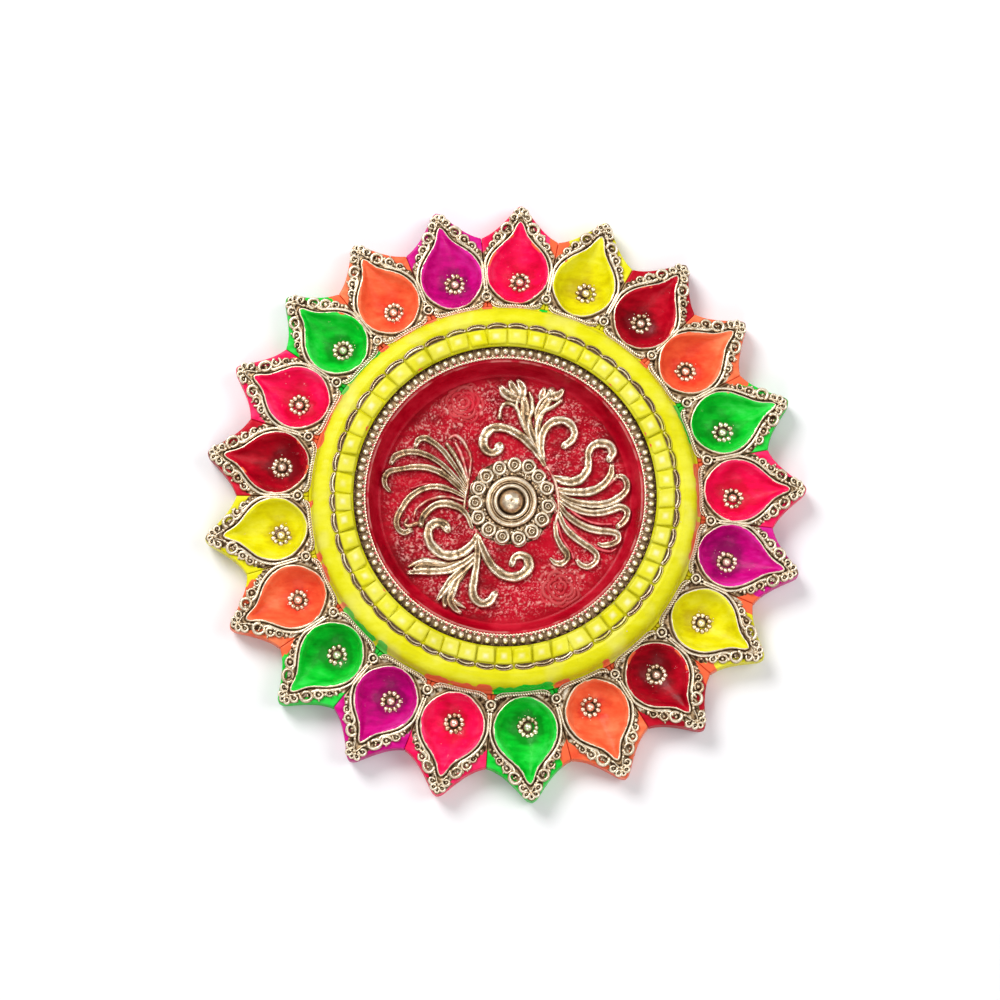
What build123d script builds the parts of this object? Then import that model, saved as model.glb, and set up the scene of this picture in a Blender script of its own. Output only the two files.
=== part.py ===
from build123d import *
import os
from math import sin, cos, tan, radians, degrees, atan2, hypot, pi, asin, acos, sqrt

os.makedirs("parts", exist_ok=True)

# ---------------------------------------------------------------------------
# Driving dimensions, millimetres.  Z is up, the lamp rests on z = 0 and its
# round plate is centred on the Z axis.
# ---------------------------------------------------------------------------
TIP_R = 150.0          # plate axis to the tip of every lamp cup
BODY_R = 97.0          # outer wall of the round plate
FOOT_R = 66.0          # solid foot under the dish
HOLLOW_TOP = 16.0      # roof of the ring-shaped hollow underneath
FLOOR_Z = 9.0          # floor of the red centre dish
FLOOR_R = 62.4         # flat part of that floor
LEDGE_Z = 22.7         # ledge that carries the bead string
LEDGE_R0, LEDGE_R1 = 68.0, 74.6
SHOULDER_Z = 24.5      # shoulder that carries the tiles
BAND_R0, BAND_R1 = 86.0, 94.6   # outer painted band
BAND_SEAT_Z = 20.0
ROPE_LEDGE_Z = 14.5
PETAL_DRAFT = 1.3      # how far the petal rim leans in over its height
N_TILES = 52
# the laid tiles vary in width: clock angle of every joint
TILE_JOINTS = [8.1, 14.6, 21.2, 28.2, 34.4, 41.0, 47.5, 54.1, 60.8, 68.1,
               74.5, 81.2, 87.8, 94.8, 101.4, 108.2, 114.7, 121.5, 128.1,
               135.3, 142.3, 149.3, 156.9, 163.5, 170.3, 177.3, 183.4,
               190.0, 196.4, 202.5, 208.7, 215.2, 222.9, 229.6, 236.2,
               242.6, 250.1, 257.0, 264.0, 270.4, 277.8, 284.6, 291.8,
               300.2, 307.9, 315.5, 323.5, 331.8, 339.7, 346.9, 353.7,
               360.9]
TILE_R0, TILE_R1 = 75.0, 83.4
TILE_TOP_Z = 26.3
BEADS_PER_TILE = 2
BEAD_R, BEAD_PATH_R = 1.8, 71.4
FLANGE_Z = 13.5        # top of the cup flange
LIP_Z = 15.0           # top of the cup lip
LIP_W = 1.3            # lip width outside the bowl outline
BOWL_R = 15.5          # ball that hollows each bowl
BOWL_U, BOWL_Z = 113.0, 20.0
SPOUT_U, SPOUT_Z = 141.6, 15.5   # point of the cone that makes the spout
TRIM_Z = 15.2
JUNCTION_R = 102.3     # little beads where two cups meet at the plate
RELIEF_Z = 11.4        # top of the raised scrollwork on the dish floor
MED = (3.2, -1.5)      # the medallion sits a little off centre

# cup axis, degrees clockwise from +Y
CUP_ANGLES = [3.2, 20.2, 37.6, 53.6, 70.8, 88.2, 104.6, 122.0, 139.6, 156.9,
              175.0, 192.9, 210.4, 227.6, 244.6, 262.2, 278.9, 296.1, 312.9,
              329.4, 346.5]

# half outline of the bowl: (u along the cup axis, v to the side)
TEAR = [(141.0, 0.0), (140.2, 0.7), (138.2, 1.7), (135.6, 3.0), (132.6, 5.0),
        (129.6, 7.6), (126.2, 10.4), (122.6, 12.7), (118.6, 14.3),
        (114.4, 14.9), (110.2, 14.3), (106.2, 12.3), (102.4, 8.7),
        (99.5, 4.5), (98.5, 0.0)]
# half outline of the petal at its widest level
PETAL = [(150.0, 0.0), (149.4, 1.5), (148.3, 2.9), (146.6, 4.3),
         (144.4, 6.0), (142.0, 7.9), (139.5, 10.1), (137.0, 12.5),
         (135.0, 14.8), (133.2, 17.4), (131.8, 20.2), (131.0, 24.0)]


def catmull(pts, n):
    """Smooth chain through control points of any dimension."""
    out = []
    dim = len(pts[0])
    ext = [tuple(2 * a - b for a, b in zip(pts[0], pts[1]))] + list(pts) + \
          [tuple(2 * a - b for a, b in zip(pts[-1], pts[-2]))]
    for i in range(1, len(ext) - 2):
        p0, p1, p2, p3 = ext[i - 1], ext[i], ext[i + 1], ext[i + 2]
        for k in range(n):
            t = k / n
            out.append(tuple(
                0.5 * (2 * p1[d] + (p2[d] - p0[d]) * t
                       + (2 * p0[d] - 5 * p1[d] + 4 * p2[d] - p3[d]) * t * t
                       + (3 * p1[d] - p0[d] - 3 * p2[d] + p3[d]) * t ** 3)
                for d in range(dim)))
    out.append(tuple(pts[-1]))
    return out


def normals(ch):
    res = []
    for i in range(len(ch)):
        a = ch[max(i - 1, 0)]
        b = ch[min(i + 1, len(ch) - 1)]
        dx, dy = b[0] - a[0], b[1] - a[1]
        l = hypot(dx, dy)
        res.append((dy / l, -dx / l))
    return res


def bowl_outline(off):
    """Closed list of points around the bowl, grown sideways by off."""
    half = catmull(TEAR, 3)
    nn = normals(half)
    side = [(p[0] + n[0] * off, p[1] + n[1] * off) for p, n in zip(half, nn)]
    side[-1] = (TEAR[-1][0] - off, 0.0)
    side = [p for p in side if p[1] > 0.02 or p is side[-1]]
    # +v side from tip to heel, then back along the -v side
    ring = [(TEAR[0][0] + off * 1.05, 0.0)] + side
    ring += [(u, -v) for u, v in reversed(side[:-1])]
    return ring


def poly_face(pts, z=0.0):
    return make_face(Polyline([(p[0], p[1], z) for p in pts], close=True))


def petal_wire(inset, z):
    half = catmull(PETAL, 2)
    nn = normals(half)
    side = [(p[0] - n[0] * inset, p[1] - n[1] * inset)
            for p, n in zip(half, nn)]
    side[0] = (PETAL[0][0] - inset, 0.0)
    side = [side[0]] + [p for p in side[1:] if p[1] > 0.4]
    front = [(u, v) for u, v in reversed(side)] + \
            [(u, -v) for u, v in side[1:]]
    edge = Spline([(u, v, z) for u, v in front])
    back = Polyline([(front[-1][0], front[-1][1], z), (90, -26, z),
                     (90, 26, z), (front[0][0], front[0][1], z)])
    return make_face([edge] + list(back.edges()))


def sector(h_plus, h_minus, gap=0.0):
    """Wedge between the two joint planes beside a cup."""
    a, b = radians(h_plus), radians(h_minus)
    face = poly_face([(0, 0), (180 * cos(b), -180 * sin(b)), (190, 0),
                      (180 * cos(a), 180 * sin(a))], -2)
    w = extrude(face, 30)
    if gap:
        w = w & extrude(poly_face([
            (0 + gap * 6, 0), (180 * cos(b), -180 * sin(b) + gap),
            (190, 0), (180 * cos(a), 180 * sin(a) - gap)], -2), 30)
    return w


def save(name, shapes):
    if isinstance(shapes, (list, tuple)):
        obj = Compound(label=name, children=[s for s in shapes])
    else:
        obj = shapes
        obj.label = name
    export_step(obj, "parts/%s.step" % name)


def ring_solid(profile):
    """Turn an (r, z) outline about the Z axis."""
    f = make_face(Polyline([(r, 0, z) for r, z in profile], close=True))
    return revolve(f, Axis.Z, 360)


def rot(a):
    """Placement that sends local +X to the clock angle a."""
    return Rot(0, 0, 90 - a)


# ---------------------------------------------------------------------------
# 1  the round plate with its sunk centre dish
# ---------------------------------------------------------------------------
thali_body = ring_solid([
    (0, 0), (FOOT_R, 0), (69, HOLLOW_TOP), (91, HOLLOW_TOP), (93, 0),
    (BODY_R, 0), (BODY_R, ROPE_LEDGE_Z), (95.3, ROPE_LEDGE_Z),
    (95.2, 17.0), (BAND_R1, BAND_SEAT_Z), (BAND_R0, BAND_SEAT_Z),
    (BAND_R0, SHOULDER_Z), (LEDGE_R1, SHOULDER_Z), (LEDGE_R1, LEDGE_Z),
    (LEDGE_R0, LEDGE_Z), (67.2, 20.0), (66.2, 16.6), (65.2, 13.5),
    (64.3, 11.2), (63.4, 9.7), (FLOOR_R, FLOOR_Z), (0, FLOOR_Z)])
save("thali_body", thali_body)

# ---------------------------------------------------------------------------
# 2  outer band, tiles, arches, beads and ropes laid on the plate
# ---------------------------------------------------------------------------
rim_band = ring_solid([
    (BAND_R0, BAND_SEAT_Z), (BAND_R1, BAND_SEAT_Z), (94.4, 21.2),
    (93.7, 22.6), (92.4, 23.7), (90.4, 24.6), (88.2, 25.1), (86.5, 25.1),
    (BAND_R0, 24.7)])
save("rim_band", rim_band)

t0, t1 = TILE_R0, TILE_R1


def tile_at(inset, z, width):
    h = radians(width / 2)
    r0, r1 = t0 + inset, t1 - inset
    g = 0.28 + inset
    a0, a1 = h - g / r0, h - g / r1
    return make_face([
        Line((r0 * cos(a0), -r0 * sin(a0), z), (r1 * cos(a1), -r1 * sin(a1), z)),
        ThreePointArc((r1 * cos(a1), -r1 * sin(a1), z), (r1, 0, z),
                      (r1 * cos(a1), r1 * sin(a1), z)),
        Line((r1 * cos(a1), r1 * sin(a1), z), (r0 * cos(a0), r0 * sin(a0), z)),
        ThreePointArc((r0 * cos(a0), r0 * sin(a0), z), (r0, 0, z),
                      (r0 * cos(a0), -r0 * sin(a0), z))])


# one scalloped arch link outside every tile
arch_in, arch_out = 83.7, 85.9
tiles, arches = [], []
for k in range(N_TILES):
    a1 = TILE_JOINTS[k]
    a0 = TILE_JOINTS[k - 1] - (360 if k == 0 else 0)
    width = a1 - a0
    tile = extrude(tile_at(0, SHOULDER_Z, width), 0.9) + \
        loft([tile_at(0, SHOULDER_Z + 0.9, width),
              tile_at(1.1, TILE_TOP_Z, width)])
    tile = tile + Pos((t0 + t1) / 2, 0, TILE_TOP_Z + 0.2) * \
        Cone(1.5, 0.35, 0.8)
    place = Rot(0, 0, 90 - (a0 + a1) / 2)
    tiles.append(place * tile)
    half = arch_in * radians(width / 2) * 0.94
    arch = extrude(make_face([
        Line((arch_in, -half, SHOULDER_Z), (arch_in, half, SHOULDER_Z)),
        ThreePointArc((arch_in, half, SHOULDER_Z),
                      (arch_out, 0, SHOULDER_Z),
                      (arch_in, -half, SHOULDER_Z))]), 1.2)
    arches.append(place * arch)
save("tile_band", tiles)
save("tile_arch_trim", arches)

bead = Pos(BEAD_PATH_R, 0, LEDGE_Z + 1.5) * Sphere(BEAD_R)
bead = bead & Pos(BEAD_PATH_R, 0, LEDGE_Z + 5) * Box(6, 6, 10)
n_beads = N_TILES * BEADS_PER_TILE
save("bead_string", [Rot(0, 0, 360.0 * i / n_beads) * bead
                     for i in range(n_beads)])

inner_rope = ring_solid([(68.1, LEDGE_Z), (69.3, LEDGE_Z), (69.3, 23.4),
                         (69.0, 23.9), (68.4, 23.9), (68.1, 23.4)])
save("inner_rope", inner_rope)

rope_r, rope_c = 0.8, 96.15
base_rope = revolve(Pos(rope_c, 0, ROPE_LEDGE_Z + rope_r) *
                    (Plane.XZ * Circle(rope_r)), Axis.Z, 360)
save("base_rope", base_rope)

# ---------------------------------------------------------------------------
# 3  the twenty-one lamp cups, each a petal with a bowl and a spout
# ---------------------------------------------------------------------------
petal_solid = loft([petal_wire(0.9, 0.0), petal_wire(0.0, 5.0),
                    petal_wire(PETAL_DRAFT, FLANGE_Z)], ruled=True)
lip_solid = extrude(poly_face(bowl_outline(LIP_W), FLANGE_Z - 1.0),
                    LIP_Z - FLANGE_Z + 1.0)
axis_len = hypot(SPOUT_U - BOWL_U, SPOUT_Z - BOWL_Z)
half_ang = asin(BOWL_R / axis_len)
cone_h = (axis_len - BOWL_R * sin(half_ang))
cone_r = cone_h * tan(half_ang)
dx = (SPOUT_U - BOWL_U) / axis_len
dz = (SPOUT_Z - BOWL_Z) / axis_len
cx = SPOUT_U - dx * cone_h / 2
cz = SPOUT_Z - dz * cone_h / 2
spout = Plane(origin=(cx, 0, cz), z_dir=(dx, 0, dz)) * \
    Cone(cone_r, 0.0, cone_h)
bowl = Pos(BOWL_U, 0, BOWL_Z) * Sphere(BOWL_R)
cavity = bowl + spout
cavity = cavity & Pos(120, 0, 10) * Box(60, 40, 20)
plate_plug = Cylinder(BODY_R, 60)

raw_cup = (petal_solid + lip_solid) - cavity - plate_plug

# trim: a band beside the bowl lip, leaves at the sides, rosette at the tip
band_out = extrude(poly_face(bowl_outline(3.5), FLANGE_Z), TRIM_Z - FLANGE_Z)
lip_cut = extrude(poly_face(bowl_outline(LIP_W), FLANGE_Z - 1), 8)


def button(u, v, r, h):
    return Pos(u, v, FLANGE_Z + h / 2) * Cylinder(r, h) + \
        (Pos(u, v, FLANGE_Z + h) * Sphere(r * 0.55) &
         Pos(u, v, FLANGE_Z + h + 5) * Box(20, 20, 10))


trim_raw = band_out
for u, v, r, h in [(144.2, 0, 3.5, 1.9), (137.2, 7.3, 3.1, 1.9),
                   (137.2, -7.3, 3.1, 1.9), (132.9, 11.4, 2.4, 1.7),
                   (132.9, -11.4, 2.4, 1.7), (129.4, 14.3, 1.8, 1.5),
                   (129.4, -14.3, 1.8, 1.5)]:
    trim_raw = trim_raw + button(u, v, r, h)
trim_raw = trim_raw - lip_cut
trim_raw = trim_raw & Pos(118 + 30, 0, 15) * Box(60, 60, 12)
flange_top = extrude(petal_wire(PETAL_DRAFT + 0.2, FLANGE_Z), 8)
trim_raw = trim_raw & flange_top

n = len(CUP_ANGLES)
for i, a in enumerate(CUP_ANGLES):
    prev = CUP_ANGLES[i - 1] - (360 if i == 0 else 0)
    nxt = CUP_ANGLES[(i + 1) % n] + (360 if i == n - 1 else 0)
    hp, hm = (a - prev) / 2, (nxt - a) / 2
    cup = raw_cup & sector(hp, hm)
    save("diya_cup_%02d" % (i + 1), rot(a) * cup)
    trim = trim_raw & sector(hp, hm, 0.12)
    save("cup_trim_%02d" % (i + 1), rot(a) * trim)

# small bead in a ring on the joint between two cups
jb = Pos(JUNCTION_R, 0, FLANGE_Z + 0.5) * Cylinder(2.75, 1.0) + \
    (Pos(JUNCTION_R, 0, FLANGE_Z + 1.2) * Sphere(1.55) &
     Pos(JUNCTION_R, 0, FLANGE_Z + 5) * Box(10, 10, 10))
jb = jb - Pos(JUNCTION_R, 0, FLANGE_Z + 1.0) * \
    (Cylinder(2.3, 0.8) - Cylinder(1.75, 0.8))
joints = []
for i, a in enumerate(CUP_ANGLES):
    nxt = CUP_ANGLES[(i + 1) % n] + (360 if i == n - 1 else 0)
    joints.append(rot((a + nxt) / 2) * jb)
save("junction_beads", joints)

# stud in the bottom of every bowl
# where the flower stud was pressed in each bowl: (u, v) along the cup axis
STUDS = [(111.4, -1.3), (113.1, -1.9), (113.0, 0.7), (111.8, -1.2),
         (113.9, -3.6), (113.3, -2.6), (114.1, -2.4), (114.7, -0.7),
         (114.4, 0.5), (110.8, -1.8), (112.9, 1.4), (113.2, 0.3),
         (114.4, 2.3), (113.0, 1.2), (113.7, 1.3), (112.4, 2.4),
         (112.3, 0.8), (113.6, 2.2), (111.4, -0.4), (110.8, -0.3),
         (112.9, -1.2)]
studs = []
for a, (u, v) in zip(CUP_ANGLES, STUDS):
    stud = Pos(u, v, 5.0) * Cylinder(3.6, 2.0)
    for k in range(10):
        b = 2 * pi * k / 10
        stud = stud + Pos(u + 4.1 * cos(b), v + 4.1 * sin(b), 4.9) * \
            Cylinder(0.9, 2.4)
    stud = stud + Pos(u, v, 5.6) * Sphere(2.2)
    stud = stud & Pos(BOWL_U, 0, BOWL_Z) * Sphere(BOWL_R)
    studs.append(rot(a) * stud)
save("cup_studs", studs)

# ---------------------------------------------------------------------------
# 4  medallion in the middle of the dish
# ---------------------------------------------------------------------------
medallion_disc = Pos(MED[0], MED[1], 0) * ring_solid([
    (0, FLOOR_Z), (13.2, FLOOR_Z), (13.2, 10.8), (12.6, 12.4), (11.8, 13.0),
    (11.0, 12.5), (10.7, 11.8), (10.2, 12.3), (9.6, 12.3), (9.2, 11.7),
    (8.7, 12.6), (7.9, 13.0), (7.1, 12.6), (6.7, 11.6), (0, 11.6)])
save("medallion_disc", medallion_disc)

boss_r = 6.2
boss_h = 4.4
ball_r = (boss_r ** 2 + boss_h ** 2) / (2 * boss_h)
centre_boss = (Pos(MED[0], MED[1], 11.6 + boss_h - ball_r) * Sphere(ball_r)
               & Pos(MED[0], MED[1], 11.6 + 5) * Box(14, 14, 10))
centre_boss = centre_boss - Pos(MED[0], MED[1], 11.6 + boss_h + 0.35) * \
    Sphere(0.8)
save("centre_boss", centre_boss)

ROSETTES = [(-2.8, 15.3), (4.7, 17.0), (11.7, 16.0), (16.7, 11.0),
            (20.7, 5.3), (21.3, -3.7), (18.2, -10.3), (13.3, -16.3),
            (6.7, -19.7), (-1.3, -18.7), (-8.0, -15.3), (-13.3, -9.3),
            (-14.7, -2.0), (-13.0, 5.3), (-9.2, 11.3)]
ros = ring_solid([(0, FLOOR_Z), (3.45, FLOOR_Z), (3.45, 10.9), (3.0, 11.6),
                  (2.4, 11.6), (2.0, 10.9), (1.6, 11.5), (1.1, 12.1),
                  (0.5, 12.4), (0, 12.5)])
save("rosette_ring", [Pos(x, y, 0) * ros for x, y in ROSETTES])

# ---------------------------------------------------------------------------
# 5  raised scrollwork on the dish floor: strokes as (x, y, half width)
# ---------------------------------------------------------------------------
SPRAY_TOP = [
    [(19.3, 17.6, 0.9), (17.0, 21.5, 1.3), (13.6, 25.8, 1.6), (9.8, 29.8, 1.8),
     (5.5, 33.0, 1.8), (1.0, 35.2, 1.8), (-4.0, 36.0, 1.9), (-8.0, 34.6, 2.0),
     (-10.4, 31.2, 2.0), (-10.8, 27.4, 1.9), (-9.0, 24.3, 1.7),
     (-6.0, 23.3, 1.5), (-3.6, 24.3, 1.7), (-2.9, 25.9, 2.0)],
    [(18.9, 18.2, 0.9), (18.4, 22.5, 1.3), (17.9, 27.0, 1.5),
     (18.4, 31.5, 1.6), (20.4, 35.6, 1.7), (24.0, 38.8, 1.8),
     (28.4, 39.6, 1.8), (32.4, 37.8, 1.8), (34.4, 34.2, 1.7),
     (33.9, 30.6, 1.6), (31.8, 28.2, 1.6), (29.8, 26.9, 1.7)],
    [(18.2, 19.5, 0.8), (15.2, 25.5, 1.0), (12.6, 30.5, 1.0),
     (10.0, 35.0, 1.1), (8.1, 39.6, 1.1), (6.8, 43.8, 1.0), (5.7, 47.2, 0.9),
     (6.6, 50.4, 1.2)],
    [(7.6, 49.6, 1.0), (3.6, 51.3, 2.0), (0.0, 53.4, 2.2), (-1.9, 56.0, 1.2)],
    [(7.2, 50.0, 0.9), (5.4, 54.0, 1.7), (3.6, 57.0, 1.6), (2.6, 59.0, 0.9)],
    [(7.8, 49.8, 0.9), (8.9, 53.8, 1.8), (8.2, 57.2, 1.7), (6.6, 59.6, 0.9)],
    [(7.0, 43.4, 0.8), (4.4, 47.2, 1.0), (1.4, 48.4, 1.1), (-1.0, 47.4, 1.1),
     (-2.2, 45.0, 0.9), (-2.6, 42.9, 0.9), (-2.7, 41.3, 1.2)],
    [(16.4, 23.5, 0.7), (13.4, 29.5, 0.8), (11.7, 35.6, 0.9),
     (12.2, 40.6, 1.1), (13.7, 45.3, 1.2), (13.4, 50.0, 1.1),
     (12.4, 53.6, 0.8)],
    [(17.6, 22.0, 0.8), (15.8, 29.0, 1.0), (15.6, 35.4, 1.1),
     (16.8, 40.6, 1.2), (19.6, 44.4, 1.2), (24.0, 46.6, 1.1),
     (28.2, 49.6, 0.9)],
    [(15.8, 36.0, 0.8), (15.2, 43.6, 0.8), (16.6, 47.4, 0.9),
     (18.6, 50.2, 0.9), (20.8, 51.6, 1.1), (23.2, 54.4, 2.0)],
    [(20.6, 51.0, 0.9), (24.6, 51.6, 1.9), (27.4, 53.0, 1.7),
     (28.6, 55.0, 0.9)],
    [(18.2, 49.4, 0.8), (18.3, 52.0, 1.4), (19.4, 55.4, 0.9)],
    [(17.2, 22.6, 0.7), (14.6, 29.0, 1.3), (11.9, 35.4, 1.9),
     (10.3, 41.2, 2.1), (10.0, 46.4, 1.9), (9.6, 50.6, 1.3)],
    [(16.6, 29.4, 0.9), (16.2, 36.0, 1.4), (17.5, 42.2, 1.7),
     (19.9, 46.8, 1.7), (22.2, 50.2, 1.4)],
]
SPRAY_RIGHT = [
    [(20.8, 16.2, 0.6), (22.9, 12.6, 0.7), (24.9, 8.6, 0.8), (25.9, 4.2, 0.8),
     (26.5, -1.0, 0.8), (26.4, -6.0, 0.8), (24.8, -12.6, 0.8)],
    [(24.4, 10.8, 1.2), (28.6, 9.3, 1.7), (33.6, 8.6, 1.9), (38.0, 10.6, 1.9),
     (40.8, 14.4, 1.7), (41.4, 19.0, 1.5), (41.4, 22.8, 1.5),
     (43.6, 26.4, 1.7), (47.8, 28.0, 1.9), (51.8, 26.8, 1.9),
     (53.6, 23.4, 1.8), (52.0, 20.3, 1.6)],
    [(25.9, 5.0, 1.0), (29.0, 3.9, 1.4), (34.0, 3.4, 1.7), (40.0, 3.4, 1.8),
     (45.4, 4.8, 1.8), (49.8, 8.0, 1.7), (52.4, 12.0, 1.5), (53.0, 16.6, 1.0)],
    [(45.6, 4.0, 1.0), (50.2, 6.6, 1.1), (54.6, 10.2, 0.9)],
    [(26.1, 2.8, 0.9), (29.6, 0.6, 1.1), (34.0, -1.4, 1.3), (40.6, -2.6, 1.5),
     (46.8, -2.8, 1.6), (51.8, -1.8, 1.6), (56.6, 0.6, 1.6), (60.0, 4.0, 1.5),
     (60.4, 8.0, 1.4), (58.4, 11.0, 1.2), (55.4, 11.4, 0.8)],
    [(26.4, 0.2, 0.9), (30.6, -2.8, 1.2), (35.4, -5.2, 1.4),
     (41.0, -6.9, 1.5), (47.0, -7.0, 1.5), (52.4, -5.8, 1.5),
     (57.2, -4.2, 1.6), (60.2, -5.6, 1.5), (60.4, -8.8, 1.5),
     (58.4, -12.0, 1.5), (56.2, -13.6, 1.2)],
    [(26.6, -2.4, 0.9), (30.4, -7.8, 1.2), (35.4, -11.8, 1.5),
     (41.0, -14.6, 1.6), (46.8, -16.0, 1.6), (52.2, -16.4, 1.5),
     (55.6, -17.8, 1.4), (55.9, -20.6, 1.4), (53.0, -22.6, 1.4),
     (48.6, -23.2, 1.1), (46.4, -22.6, 0.8)],
    [(28.6, -2.6, 0.6), (36.0, -8.4, 0.7), (41.0, -11.0, 0.7),
     (46.0, -12.4, 0.7), (52.4, -12.6, 0.6)],
    [(26.4, -6.0, 0.9), (29.0, -13.0, 1.2), (33.0, -18.0, 1.5),
     (38.0, -21.8, 1.5), (42.6, -25.0, 1.4), (45.2, -28.0, 1.3),
     (44.6, -31.6, 1.3), (41.0, -33.8, 1.3), (37.4, -32.8, 1.1),
     (35.6, -30.8, 0.8)],
    [(27.2, -7.4, 0.6), (32.0, -13.8, 0.8), (38.0, -19.4, 0.8),
     (43.6, -23.6, 0.8), (48.0, -25.6, 0.8), (52.0, -26.2, 0.7),
     (54.6, -25.0, 0.5)],
    [(25.0, -11.8, 0.9), (25.2, -18.0, 1.2), (27.4, -22.8, 1.4),
     (30.2, -26.8, 1.4), (30.6, -30.0, 1.3), (28.0, -32.2, 1.3),
     (24.8, -31.8, 1.2), (22.6, -30.0, 0.7)],
    [(25.6, -10.4, 0.6), (27.6, -18.2, 0.7), (30.0, -22.6, 0.7),
     (32.8, -26.6, 0.7), (33.8, -29.4, 0.6)],
]
SPRAY_LEFT = [
    [(-18.0, 10.2, 0.7), (-19.0, 5.0, 0.8), (-19.8, 0.5, 0.8),
     (-20.4, -5.0, 0.9)],
    [(-18.0, 10.2, 0.6), (-17.2, 16.0, 0.8), (-17.0, 20.6, 0.9),
     (-18.6, 25.0, 1.0), (-21.0, 29.2, 1.1), (-24.4, 31.8, 1.1),
     (-27.6, 30.6, 0.9)],
    [(-18.4, 9.2, 0.6), (-19.6, 15.6, 0.8), (-21.8, 22.6, 1.0),
     (-24.6, 28.0, 0.9)],
    [(-18.6, 8.2, 0.7), (-20.6, 13.6, 1.0), (-22.8, 18.0, 1.2),
     (-25.6, 23.0, 1.3), (-28.8, 27.6, 1.2)],
    [(-19.0, 6.6, 0.7), (-22.8, 13.0, 1.0), (-27.0, 19.2, 1.2),
     (-31.0, 24.4, 1.4), (-35.4, 28.2, 1.5), (-39.6, 30.6, 1.6),
     (-43.0, 29.6, 1.5), (-44.4, 26.8, 1.1)],
    [(-19.4, 4.8, 0.7), (-24.4, 10.6, 1.0), (-29.2, 15.6, 1.2),
     (-34.0, 19.4, 1.3), (-39.4, 22.2, 1.4), (-45.0, 23.6, 1.5),
     (-50.0, 23.2, 1.7), (-54.6, 21.2, 1.7), (-56.4, 18.2, 1.1)],
    [(-19.8, 2.8, 0.7), (-24.6, 7.4, 1.1), (-29.2, 11.4, 1.4),
     (-34.0, 14.2, 1.6), (-39.4, 15.8, 1.6), (-45.2, 16.0, 1.5),
     (-51.8, 15.0, 1.3), (-57.4, 13.6, 1.4), (-59.8, 10.4, 1.4),
     (-59.4, 6.6, 1.2), (-57.4, 4.2, 0.8)],
    [(-20.0, 1.0, 0.7), (-25.0, 3.6, 1.0), (-29.4, 5.4, 1.3),
     (-34.6, 6.2, 1.5), (-40.0, 5.2, 1.5), (-44.8, 2.6, 1.5),
     (-48.4, -0.8, 1.5), (-51.0, -4.8, 1.5), (-53.4, -9.4, 1.5),
     (-53.4, -14.0, 1.5), (-50.2, -16.8, 1.4), (-46.8, -15.8, 1.2)],
    [(-29.0, 5.6, 0.5), (-38.0, 7.6, 0.7), (-46.4, 5.4, 0.6)],
    [(-20.2, -1.2, 0.6), (-26.0, 0.6, 0.8), (-31.0, 1.1, 0.9),
     (-36.6, -0.1, 0.9), (-41.0, -2.5, 0.9), (-44.2, -5.7, 0.9),
     (-45.0, -9.2, 0.8)],
    [(-16.4, -14.0, 0.8), (-18.4, -9.0, 1.2), (-21.2, -5.4, 1.6),
     (-25.2, -3.2, 1.8), (-29.6, -2.3, 1.8), (-34.0, -3.1, 1.8),
     (-38.0, -5.9, 1.8), (-40.7, -9.4, 1.6), (-41.6, -13.0, 1.2)],
    [(-41.0, -11.0, 0.9), (-44.6, -12.6, 1.1), (-47.6, -13.4, 1.0),
     (-49.6, -12.2, 0.75), (-49.0, -10.2, 0.65)],
]
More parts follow.
